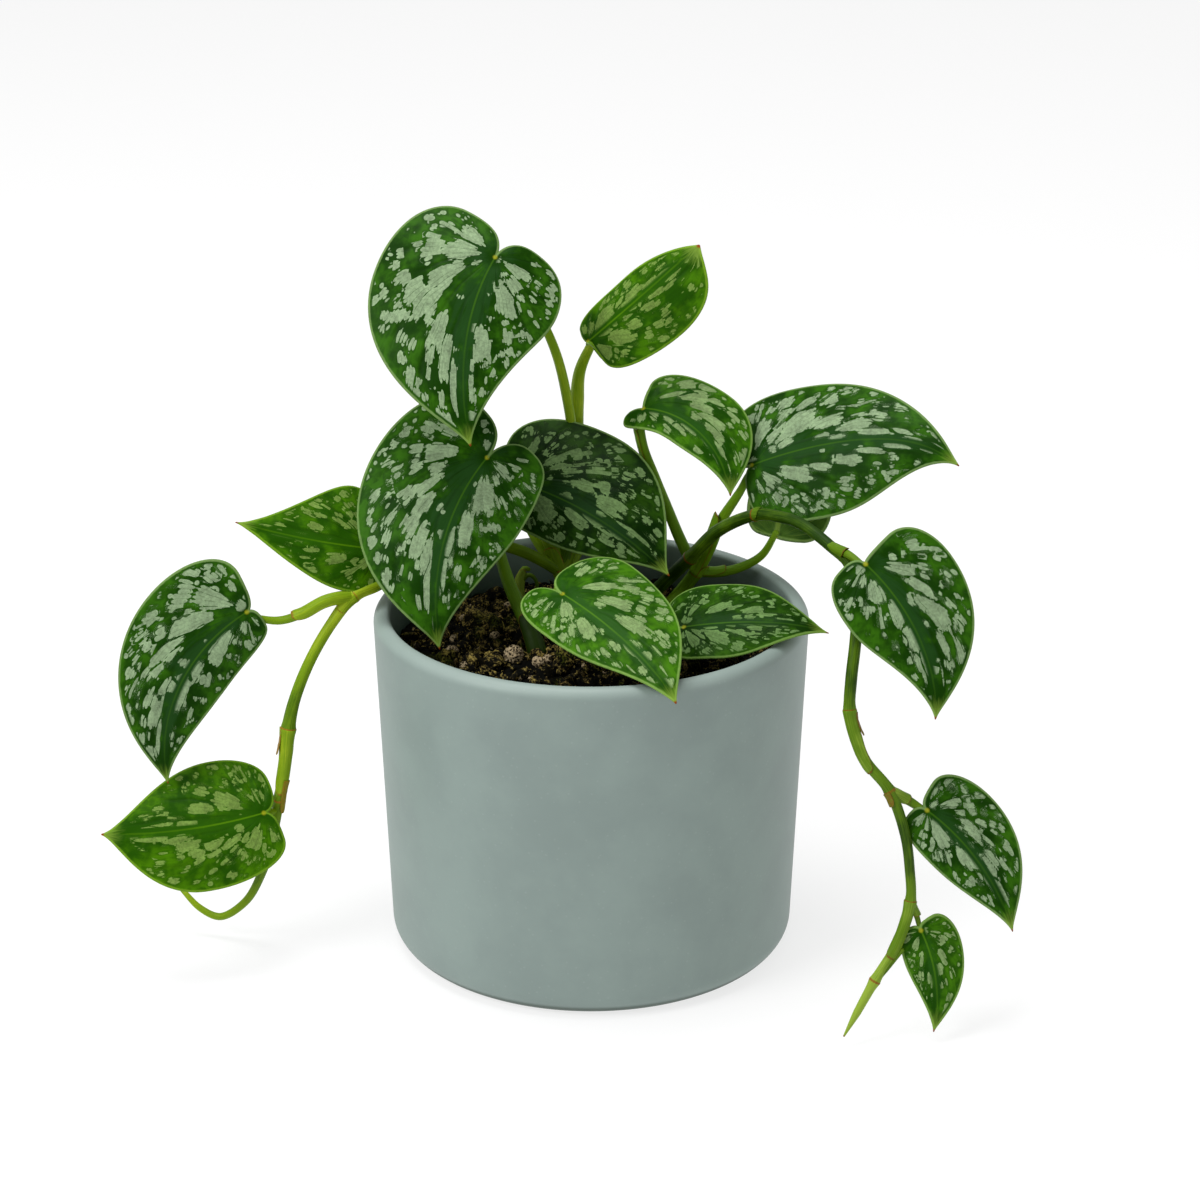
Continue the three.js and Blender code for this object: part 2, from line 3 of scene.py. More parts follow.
import bpy
import numpy as np
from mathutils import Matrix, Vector


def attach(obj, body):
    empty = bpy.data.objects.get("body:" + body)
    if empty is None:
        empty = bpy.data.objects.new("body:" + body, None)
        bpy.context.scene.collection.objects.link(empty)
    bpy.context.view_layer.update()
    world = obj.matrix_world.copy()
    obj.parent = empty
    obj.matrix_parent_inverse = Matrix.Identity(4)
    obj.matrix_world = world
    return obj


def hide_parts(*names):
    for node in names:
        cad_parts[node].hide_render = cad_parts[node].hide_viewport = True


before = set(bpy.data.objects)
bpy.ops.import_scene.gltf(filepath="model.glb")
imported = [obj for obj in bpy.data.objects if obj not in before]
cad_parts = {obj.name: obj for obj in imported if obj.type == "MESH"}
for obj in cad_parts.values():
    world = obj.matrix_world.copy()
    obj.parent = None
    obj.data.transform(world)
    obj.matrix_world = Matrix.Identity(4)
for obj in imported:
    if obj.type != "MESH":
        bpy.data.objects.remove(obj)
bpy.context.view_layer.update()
mm = 0.001  # shapes are worked out in millimetres and written to the meshes in metres


# small tools for shapes

def draw(cells, seed):
    # a fixed draw from 0 to 1 for each row of whole numbers: the fraction of a large sine
    return np.abs(np.sin(cells @ np.array([12.9898, 78.233, 37.719]) + 4.7 * seed) * 43758.5453) % 1


def softNoise(points, size, seed=0):
    # value noise from -1 to 1: draws at the corners of cells of that size, blended by 3t^2 - 2t^3
    place = points / size
    cell = np.floor(place)
    t = place - cell
    t = t * t * (3 - 2 * t)
    total = 0
    for corner in np.ndindex(2, 2, 2):
        corner = np.array(corner)
        total = total + np.prod(np.where(corner == 1, t, 1 - t), axis=-1) * draw(cell + corner, seed)
    return 2 * total - 1


def unit(vectors):
    # each vector over its own length
    return vectors / np.maximum(np.linalg.norm(vectors, axis=-1, keepdims=True), 1e-9)


def ease(value, low, high):
    # 0 below low, 1 above high, and 3t^2 - 2t^3 between them
    t = np.clip((value - low) / (high - low), 0, 1)
    return t * t * (3 - 2 * t)


def bump(value, centre, width):
    # a bell, exp(-((value - centre) / width)^2)
    return np.exp(-(((value - centre) / width) ** 2))


def arcPoints(x, y, radius, start, end, steps):
    # (x + r cos a, y + r sin a), with the angle a in even steps from start to end degrees
    a = np.radians(np.linspace(start, end, steps + 1))
    return np.column_stack([x + radius * np.cos(a), y + radius * np.sin(a)])


def distances(line):
    # how far each point of a line lies from its start, along it
    return np.concatenate([[0], np.cumsum(np.linalg.norm(np.diff(line, axis=0), axis=1))])


def alongLine(place, places, line):
    # the points of a line at other places along it
    return np.stack([np.interp(place, places, column) for column in line.T], -1)


def pickedValues(values, source):
    # for each name three grids as one row of three for each mesh point, from the grid point it comes from
    return {name: np.stack([v.ravel()[source] for v in grids], -1) for name, grids in values.items()}


def tubeFaces(rows, sides):
    # quads between neighbouring rings of a tube, and a fan of triangles to a pole at each end
    i, j = (n.ravel() for n in np.meshgrid(np.arange(rows - 1), np.arange(sides), indexing="ij"))
    a, b = i * sides + j, i * sides + (j + 1) % sides
    around = np.arange(sides)
    after = (around + 1) % sides
    start, end, last = rows * sides, rows * sides + 1, (rows - 1) * sides
    quads = np.column_stack([a, b, b + sides, a + sides])
    fans = np.vstack([
        np.column_stack([after, around, np.full(sides, start)]),
        np.column_stack([last + around, last + after, np.full(sides, end)]),
    ])
    return quads.tolist() + fans.tolist()


def addPiece(
    name, points, faces, attributes, materials, slot, replaced=(), faceMaterial=None, smooth=True
):
    # a mesh in metres at the origin, which rides on the body; number attributes have one value or three
    mesh = bpy.data.meshes.new(name)
    mesh.from_pydata(np.asarray(points) * mm, [], faces)
    for label, values in attributes.items():
        values = np.asarray(values, np.float32)
        kind, field = ("FLOAT", "value") if values.ndim == 1 else ("FLOAT_VECTOR", "vector")
        mesh.attributes.new(label, kind, "POINT").data.foreach_set(field, values.ravel())
    for material in materials:
        mesh.materials.append(material)
    if faceMaterial is not None:
        mesh.polygons.foreach_set("material_index", np.asarray(faceMaterial, np.int32))
    mesh.polygons.foreach_set("use_smooth", np.full(len(faces), smooth))
    mesh.update()
    piece = bpy.data.objects.new(name, mesh)
    bpy.context.scene.collection.objects.link(piece)
    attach(piece, "root")
    if replaced:
        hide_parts(*replaced)
    return piece


def joined(parts):
    # several (points, faces, attributes) as one, with each one's faces counted on from the points before it
    points, faces, attributes, first = [], [], {}, 0
    for p, f, a in parts:
        points.append(p)
        faces += [[first + n for n in face] for face in f]
        for label, values in a.items():
            attributes.setdefault(label, []).append(values)
        first += len(p)
    return np.vstack(points), faces, {k: np.concatenate(v) for k, v in attributes.items()}


# shader maths

class Wire:
    # an output socket that can stand in a sum: each operator adds its Math node
    def __init__(self, finish, socket):
        self.finish, self.socket = finish, socket

    def __add__(self, other):
        return self.finish.maths("ADD", self, other)

    def __sub__(self, other):
        return self.finish.maths("SUBTRACT", self, other)

    def __mul__(self, other):
        return self.finish.maths("MULTIPLY", self, other)

    def __truediv__(self, other):
        return self.finish.maths("DIVIDE", self, other)

    def __gt__(self, other):
        return self.finish.maths("GREATER_THAN", self, other)

    def __rsub__(self, other):
        return self.finish.maths("SUBTRACT", other, self)

    def __rtruediv__(self, other):
        return self.finish.maths("DIVIDE", other, self)

    __radd__ = __add__
    __rmul__ = __mul__


class Finish:
    # one material, with the nodes that its expressions ask for
    def __init__(self, name, **surface):
        self.material = bpy.data.materials.new(name)
        self.material.use_nodes = True
        self.nodes, self.links = self.material.node_tree.nodes, self.material.node_tree.links
        self.nodes.clear()
        self.shader = self.nodes.new("ShaderNodeBsdfPrincipled")
        self.links.new(self.shader.outputs[0], self.nodes.new("ShaderNodeOutputMaterial").inputs[0])
        for socket, value in surface.items():
            self.shader.inputs[socket.replace("_", " ")].default_value = value

    def node(self, kind, settings=None, inputs=None, output=0):
        made = self.nodes.new(kind)
        for key, value in (settings or {}).items():
            if key == "stops":
                ramp = made.color_ramp.elements
                while len(ramp) < len(value):
                    ramp.new(0.5)
                for stop, (place, colour) in zip(ramp, value):
                    stop.position, stop.color = place, (*colour, 1)
            else:
                setattr(made, key, value)
        for key, value in (inputs or {}).items():
            self.feed(made.inputs[key], value)
        return Wire(self, made.outputs[output])

    def feed(self, socket, value):
        if isinstance(value, Wire):
            self.links.new(value.socket, socket)
        elif isinstance(value, tuple) and len(socket.default_value) == 4:
            socket.default_value = (*value, 1)
        else:
            socket.default_value = value

    def maths(self, operation, a, b=0.0, clamp=False):
        return self.node("ShaderNodeMath", {"operation": operation, "use_clamp": clamp}, {0: a, 1: b})

    def mix(self, factor, a, b):
        # colour a where the factor is 0 and b where it is 1
        return self.node("ShaderNodeMix", {"data_type": "RGBA"}, {0: factor, 6: a, 7: b}, 2)

    def tint(self, colour, amount):
        # the colour times a number
        return self.node("ShaderNodeVectorMath", {"operation": "SCALE"}, {0: colour, "Scale": amount})

    def step(self, value, low, high):
        # a smooth step from 0 at low to 1 at high
        settings = {"interpolation_type": "SMOOTHSTEP"}
        return self.node("ShaderNodeMapRange", settings, {"Value": value, "From Min": low, "From Max": high})

    def fade(self, value, low, high):
        # a smooth step from 1 at low to 0 at high
        return 1.0 - self.step(value, low, high)

    def absolute(self, value):
        return self.maths("ABSOLUTE", value)

    def vector(self, x, y, z):
        return self.node("ShaderNodeCombineXYZ", None, {0: x, 1: y, 2: z})

    def parts(self, vector):
        split = self.node("ShaderNodeSeparateXYZ", None, {0: vector})
        return [Wire(self, out) for out in split.socket.node.outputs]

    def attribute(self, name, output=1):
        return self.node("ShaderNodeAttribute", {"attribute_name": name}, None, output)

    def place(self):
        # object coordinates, in metres
        return self.node("ShaderNodeTexCoord", None, None, 3)

    def noise(self, vector, scale, detail=2.0, roughness=0.5):
        values = {"Vector": vector, "Scale": scale, "Detail": detail, "Roughness": roughness}
        return self.node("ShaderNodeTexNoise", None, values)

    def chance(self, vector):
        # a draw from 0 to 1 that jumps with the vector
        return self.node("ShaderNodeTexWhiteNoise", {"noise_dimensions": "3D"}, {"Vector": vector})

    def cells(self, vector, scale, output=0, feature="F1"):
        # the distance to the nearest of some scattered points, or with output 1 the draw of that point
        values = {"Vector": vector, "Scale": scale}
        return self.node("ShaderNodeTexVoronoi", {"feature": feature}, values, output)

    def raised(self, height, strength, distance):
        values = {"Height": height, "Strength": strength, "Distance": distance}
        self.feed(self.shader.inputs["Normal"], self.node("ShaderNodeBump", None, values))

    def paint(self, **values):
        for socket, value in values.items():
            self.feed(self.shader.inputs[socket.replace("_", " ")], value)


def rgb(red, green, blue):
    # a screen colour from 0 to 255, as the linear values that the shader takes
    shares = (red / 255, green / 255, blue / 255)
    return tuple(((c + 0.055) / 1.055) ** 2.4 if c > 10 / 255 else c / 12.92 for c in shares)


# leaves

bladeShape = {
    "rows": 96,  # side veins of one half
    "columns": 32,  # steps from midrib to margin
    "thickness": 0.8,
    "marginThickness": 0.6,
    "firstVein": 0.08,  # the part of the margin that the first side vein takes
    "veinSag": 0.1,
    "fullSag": 0.35,
    "lobeBow": 0.15,
    "widestTaper": 0.78,  # where the last curve of the margin is pulled towards, from the widest point
    "curl": 12,
    "wave": 0.6,
    "groove": 0.55,  # depth of the channel over the midrib
    "ridge": 0.8,  # height of the midrib under the blade
    "quilting": 0.22,  # how far the blade swells between its side veins
    "sideVeins": 8,
    "grooveWidth": 2.2,
    "ridgeWidth": 0.9,
    "usualLength": 50,  # groove, ridge and quilting are for a blade of this length
    "thinTip": 0.5,  # part of the thickness that is lost at the tip
    "lastRow": 0.997,  # the grid stops just short of the tip
    "veinTurn": 0.3,  # how strongly the veins bend to the tip
    "veinCount": 7,  # stripes to a radian at the notch, doubled further out
    "doubling": 12,
    "pull": 0.45,  # how far patches near the tip move to the midrib
    "fieldReach": 6,
    "seed": 40,
    "borrowedShift": 0.025,  # how far and by what factors a borrowed patch differs from its model
    "borrowedOut": (0.88, 1.08),
    "borrowedSize": (0.8, 1.1),
    "borrowedLength": 57,
}

leafDefaults = {
    "bend": 0, "hook": 0, "swerve": 0, "belly": (0.24, 0.24), "shoulder": (0.55, 0.55), "taper": 0.1,
    "look": "mature",
}

# `at` is the notch, `tip` the point and `face` the way the upper side looks. Pairs are the right half,
# looking to the tip, and the left one. The rest are millimetres, shares of the length, and degrees.
leaves = {
    "leaf_crown_top": {
        "at": (-27, 20, 200), "tip": (-33.5, -8, 153), "face": (0.05, -0.86, 0.5),
        "half": (30.5, 23.2), "lobe": (9, 9.8), "belly": (0.25, 0.13), "shoulder": (0.5, 0.4),
        "fold": (6, 8), "arch": 16, "bend": 21,
    },
    "leaf_crown_young": {
        "at": (-1, 34, 171), "tip": (30.5, 22, 203), "face": (-0.2, -0.8, 0.5),
        "half": (15.5, 9), "lobe": (-1.5, 1.5), "belly": (0.58, 0.36), "shoulder": (0.8, 0.55),
        "taper": 0.5, "fold": (6, 12), "arch": 10, "bend": 5, "look": "young",
    },
    "leaf_crown_left": {
        "at": (-29.5, 5, 145.5), "tip": (-42.5, -22, 97.5), "face": (0, -0.86, 0.5),
        "half": (29, 19.5), "lobe": (10.5, 12), "belly": (0.24, 0.16), "shoulder": (0.55, 0.56),
        "fold": (6, 8), "arch": 14, "bend": 24,
    },
    "leaf_crown_shaded": {
        "at": (-21, 22, 132), "tip": (22.5, 2, 110.5), "face": (0.1, -0.85, 0.5),
        "half": (13, 25.5), "lobe": (8, 9), "belly": (0.26, 0.3), "shoulder": (0.5, 0.6),
        "fold": (10, 6), "arch": 14, "bend": -11, "look": "shaded",
    },
    "leaf_front": {
        "at": (-7.9, -30, 117.7), "tip": (23, -66, 100), "face": (-0.11, -0.35, 0.94),
        "half": (12.9, 22.9), "lobe": (9.6, 7.9), "belly": (0.18, 0.07), "shoulder": (0.36, 0.6),
        "taper": 0.2, "fold": (12, 4.5), "arch": 8, "bend": -4.7, "hook": 8, "swerve": 6.4, "look": "fresh",
    },
    "leaf_rim_right": {
        "at": (26, -22, 104.5), "tip": (66.5, -26, 104.3), "face": (0, -0.5, 0.87),
        "half": (11.5, 17.5), "lobe": (5, 6), "shoulder": (0.35, 0.5), "taper": 0.05,
        "fold": (2, 6), "arch": 14, "hook": 14, "look": "dim",
    },
    "leaf_folded": {
        "at": (15, 30, 152), "tip": (40, 12, 131.3), "face": (0.3, -0.8, 0.5),
        "half": (7, 16.8), "lobe": (6.5, 0.5), "belly": (0.3, 0.42),
        "fold": (5, 4), "arch": 30, "bend": -30, "look": "fresh",
    },
    "leaf_wide_right": {
        "at": (46.2, 21, 137.8), "tip": (104, 0, 144.5), "face": (0, -0.75, 0.65),
        "half": (21, 23.5), "lobe": (3, 7), "belly": (0.3, 0.17),
        "fold": (8, 8), "arch": 10, "bend": -8, "hook": 12, "swerve": 40,
    },
    "leaf_vine_right_1": {
        "at": (74.2, -46, 132.5), "tip": (93, -62, 93.5), "face": (0.1, -0.92, 0.35),
        "half": (15, 20.5), "lobe": (4, 1), "shoulder": (0.4, 0.55),
        "fold": (8, 8), "arch": 12, "bend": -20, "swerve": 8,
    },
    "leaf_vine_right_2": {
        "at": (92, -60, 65.7), "tip": (115.5, -72, 34.6), "face": (0.1, -0.93, 0.3),
        "half": (10.3, 14.8), "lobe": (3.5, 2.8), "fold": (8, 8), "arch": 8, "bend": -18,
    },
    "leaf_vine_right_3": {
        "at": (91, -66, 32), "tip": (95, -72, 3.5), "face": (0, -0.95, 0.3),
        "half": (7.4, 9.4), "lobe": (2, 2), "belly": (0.24, 0.2), "shoulder": (0.4, 0.5),
        "fold": (8, 8), "arch": 6, "bend": -18, "look": "fresh",
    },
    "leaf_vine_left_1": {
        "at": (-61, 6, 117.4), "tip": (-100.7, -4, 129.3), "face": (0.1, -0.7, 0.7),
        "half": (21, 13), "lobe": (5, 4), "belly": (0.12, 0.16), "shoulder": (0.34, 0.42),
        "taper": 0.05, "fold": (6, 6), "arch": 8, "bend": -10, "look": "young",
    },
    "leaf_vine_left_2": {
        "at": (-97.5, -12, 105), "tip": (-121, -22, 56), "face": (0.1, -0.93, 0.3),
        "half": (21.6, 12.2), "lobe": (3, 3), "belly": (0.23, 0.32),
        "fold": (6, 8), "arch": 12, "bend": 35,
    },
    "leaf_vine_left_3": {
        "at": (-94, -22, 47), "tip": (-139.5, -32, 45), "face": (0, -0.8, 0.6),
        "half": (19.5, 18), "lobe": (5, 3.2), "belly": (0.28, 0.42),
        "fold": (6, 6), "arch": 8, "bend": -11, "look": "young",
    },
    "leaf_back_right": {
        "at": (54, 25, 114), "tip": (61, 42, 147), "face": (0.1, 0.9, 0.1),
        "half": (10, 15), "lobe": (0, 0.5), "fold": (8, 8), "arch": 12,
    },
    "leaf_back_left": {
        "at": (-26, 46, 128), "tip": (-44, 72, 98), "face": (-0.3, 0.75, 0.6),
        "half": (16, 18), "lobe": (9, 9), "fold": (8, 8), "arch": 14,
    },
    "leaf_back_middle": {
        "at": (4, 54, 122), "tip": (10, 86, 100), "face": (0.1, 0.6, 0.8),
        "half": (16, 15), "lobe": (8, 9), "fold": (8, 8), "arch": 14,
    },
}
for name in leaves:
    leaves[name] = {**leafDefaults, **leaves[name]}


def cubic(a, b, c, d, t):
    # (1-t)^3 a + 3(1-t)^2 t b + 3(1-t) t^2 c + t^3 d
    a, b, c, d = (np.array(p, float) for p in (a, b, c, d))
    t = t[:, None]
    return (1 - t) ** 3 * a + 3 * (1 - t) ** 2 * t * b + 3 * (1 - t) * t * t * c + t ** 3 * d


def bladeAxes(leaf):
    # the notch, and the directions to the blade's right, to its tip and up from its upper side
    at = np.array(leaf["at"], float)
    along = unit(np.array(leaf["tip"], float) - at)
    up = np.array(leaf["face"], float)
    up = unit(up - along * (up @ along))
    return at, np.stack([np.cross(along, up), along, up])


def marginLine(length, half, lobe, belly, shoulder, taper):
    # three cubics: from the notch round the lobe, past the widest point, and to the tip; and shares of length
    widest = belly * length
    lobeX = 0.5 * half
    shoulderY = widest + shoulder * (length - widest)
    taperY = widest + bladeShape["widestTaper"] * (length - widest)
    hipY = widest - 0.6 * (widest + lobe)
    t = np.linspace(0, 1, 120)
    line = np.vstack([
        cubic((0, 0), (0.03 * half, -0.75 * lobe), (lobeX - 0.32 * half, -lobe), (lobeX, -lobe), t),
        cubic((lobeX, -lobe), (lobeX + 0.3 * half, -lobe), (half, hipY), (half, widest), t)[1:],
        cubic((half, widest), (half, shoulderY), (taper * half, taperY), (0, length), t)[1:],
    ])
    travelled = distances(line)
    return line, travelled / travelled[-1]


def midribDirections(u, leaf):
    # pitch falls from arch to -arch and heading turns from bend to -bend; hook and swerve grow with u^4
    end = np.maximum(u, 0) ** 4
    pitch = np.radians(leaf["arch"] * (1 - 2 * u) - leaf["hook"] * end)
    heading = np.radians(leaf["bend"] * (1 - 2 * u) + leaf["swerve"] * end)
    across = np.stack([np.cos(heading), -np.sin(heading), 0 * u], -1)
    level = np.cos(pitch)
    return across, np.stack([np.sin(heading) * level, np.cos(heading) * level, np.sin(pitch)], -1)


def bladeSpace(leaf, flatX, flatY, side, k, length, stations, turn):
    # the point at y on the bent midrib, x to one side of it, dropped by fold + curl x / 2 half, with ripples
    u = flatY / length
    across, forward = midribDirections(u, leaf)
    steps = len(stations) - 1
    place = np.clip(u * steps, 0, steps - 1e-6)
    i = np.floor(place).astype(int)
    t = (place - i)[..., None]
    point = (stations[i] * (1 - t) + stations[i + 1] * t + forward * np.minimum(u, 0)[..., None]) * length
    lift = np.cross(across, forward)
    out = flatX / leaf["half"][k]
    drop = np.radians(leaf["fold"][k] + 0.5 * bladeShape["curl"] * out)
    ripple = bladeShape["wave"] * out * out * np.sin(9 * u + 2 * k)
    point = point + across * (side * flatX * np.cos(drop))[..., None]
    point = point + lift * (ripple - flatX * np.sin(drop))[..., None]
    at, axes = bladeAxes(leaf)
    return at + point @ turn.T @ axes


def turnOntoY(end):
    # the shortest turn onto the y axis: I + K + K^2 / (1 + cos), with K the matrix of the cross product
    end = unit(end)
    x, y, z = np.cross(end, (0, 1, 0))
    k = np.array([[0, -z, y], [z, 0, -x], [-y, x, 0]])
    return np.eye(3) + k + k @ k / (1 + end[1])


def bladeGrid(leaf):
    # Columns run from the left margin over the midrib to the right one, rows from the notch to the tip. A row
    # follows a side vein: root + (edge - root) w - sag sin(pi w), with its root at length s^2 on the midrib.
    shape = bladeShape
    chord = np.linalg.norm(np.array(leaf["tip"], float) - np.array(leaf["at"], float))
    steps = 60
    _, forward = midribDirections((np.arange(steps) + 0.5) / steps, leaf)
    stations = np.vstack([np.zeros(3), np.cumsum(forward, axis=0) / steps])
    length = chord / np.linalg.norm(stations[-1])
    turn = turnOntoY(stations[-1])
    rows, columns = shape["rows"], shape["columns"]
    s = np.linspace(0, shape["lastRow"], rows + 1)[:, None]
    w = np.linspace(0, 1, columns + 1)[None, :]
    root = length * s ** 2
    halves = []
    for k, side in ((1, -1), (0, 1)):
        form = [leaf[key][k] for key in ("half", "lobe", "belly", "shoulder")]
        line, travelled = marginLine(length, *form, leaf["taper"])
        first = shape["firstVein"]
        edge = alongLine(first + (1 - first) * s[:, 0], travelled, line)[:, None, :]
        veinLength = np.hypot(edge[..., 0], edge[..., 1] - root)
        sag = shape["veinSag"] * np.minimum(1, s / shape["fullSag"]) * veinLength * np.sin(pi * w)
        start = alongLine(first * w[0], travelled, line)
        bowed = np.maximum(0, 1 - s / shape["lobeBow"])[..., None]
        bow = (start - w[0][:, None] * start[-1])[None] * bowed
        x = edge[..., 0] * w + bow[..., 0]
        y = root + (edge[..., 1] - root) * w - sag + bow[..., 1]
        points = bladeSpace(leaf, x, y, side, k, length, stations, turn)
        gap = np.hypot(x[..., None] - line[:, 0], y[..., None] - line[:, 1]).min(-1)
        gap[:, -1] = 0
        outer = line[line[:, 1].argmin():]
        halfWidth = np.interp(y, outer[:, 1], outer[:, 0])
        halves.append({
            "points": points, "x": x, "y": y, "w": w + 0 * s, "s": s + 0 * w, "gap": gap,
            "reach": x / np.maximum(halfWidth, 0.5), "halfWidth": halfWidth, "side": side + 0 * x,
        })
    left, right = halves
    grid = {key: np.concatenate([left[key][:, :0:-1], right[key]], axis=1) for key in left}
    return grid, length


def sheetNormals(points):
    # the cross product of the steps along the columns and along the rows
    return unit(np.cross(np.gradient(points, axis=1), np.gradient(points, axis=0)))


def closedSheet(points, normals, above, below, rimSteps=3):
    # one face lies `above` along the normals and one `below`; the rim turns between them in a half circle.
    # It gives the points, the faces, the grid point that each comes from, and how many faces each part has.
    rows, columns = points.shape[:2]
    index = np.arange(rows * columns).reshape(rows, columns)
    loop = np.concatenate([index[0, :-1], index[:-1, -1], index[-1, :0:-1], index[:0:-1, 0]])
    flat, up = points.reshape(-1, 3), normals.reshape(-1, 3)
    above, below = above.ravel(), below.ravel()
    tangent = unit(np.roll(flat[loop], -1, axis=0) - np.roll(flat[loop], 1, axis=0))
    outward = unit(np.cross(tangent, up[loop]))
    centre = flat[loop] + up[loop] * ((above - below)[loop] / 2)[:, None]
    radius = ((above + below)[loop] / 2)[:, None]
    rim = [
        centre + radius * (outward * cos(a) + up[loop] * sin(a))
        for a in np.radians(np.linspace(90, -90, rimSteps + 2)[1:-1])
    ]
    count, around = rows * columns, len(loop)
    source = np.concatenate([index.ravel(), index.ravel(), *[loop] * rimSteps])
    a, b = index[:-1, :-1].ravel(), index[:-1, 1:].ravel()
    c, d = index[1:, 1:].ravel(), index[1:, :-1].ravel()
    upper = np.column_stack([a, b, c, d])
    lower = np.column_stack([d, c, b, a]) + count
    rings = [loop, *[2 * count + n * around + np.arange(around) for n in range(rimSteps)], loop + count]
    edges = [
        np.column_stack([under, np.roll(under, -1), np.roll(over, -1), over])
        for over, under in zip(rings, rings[1:])
    ]
    allPoints = np.vstack([flat + up * above[:, None], flat - up * below[:, None], *rim])
    faces = np.vstack([upper, lower, *edges])
    return allPoints, faces.tolist(), source, len(upper), len(lower)


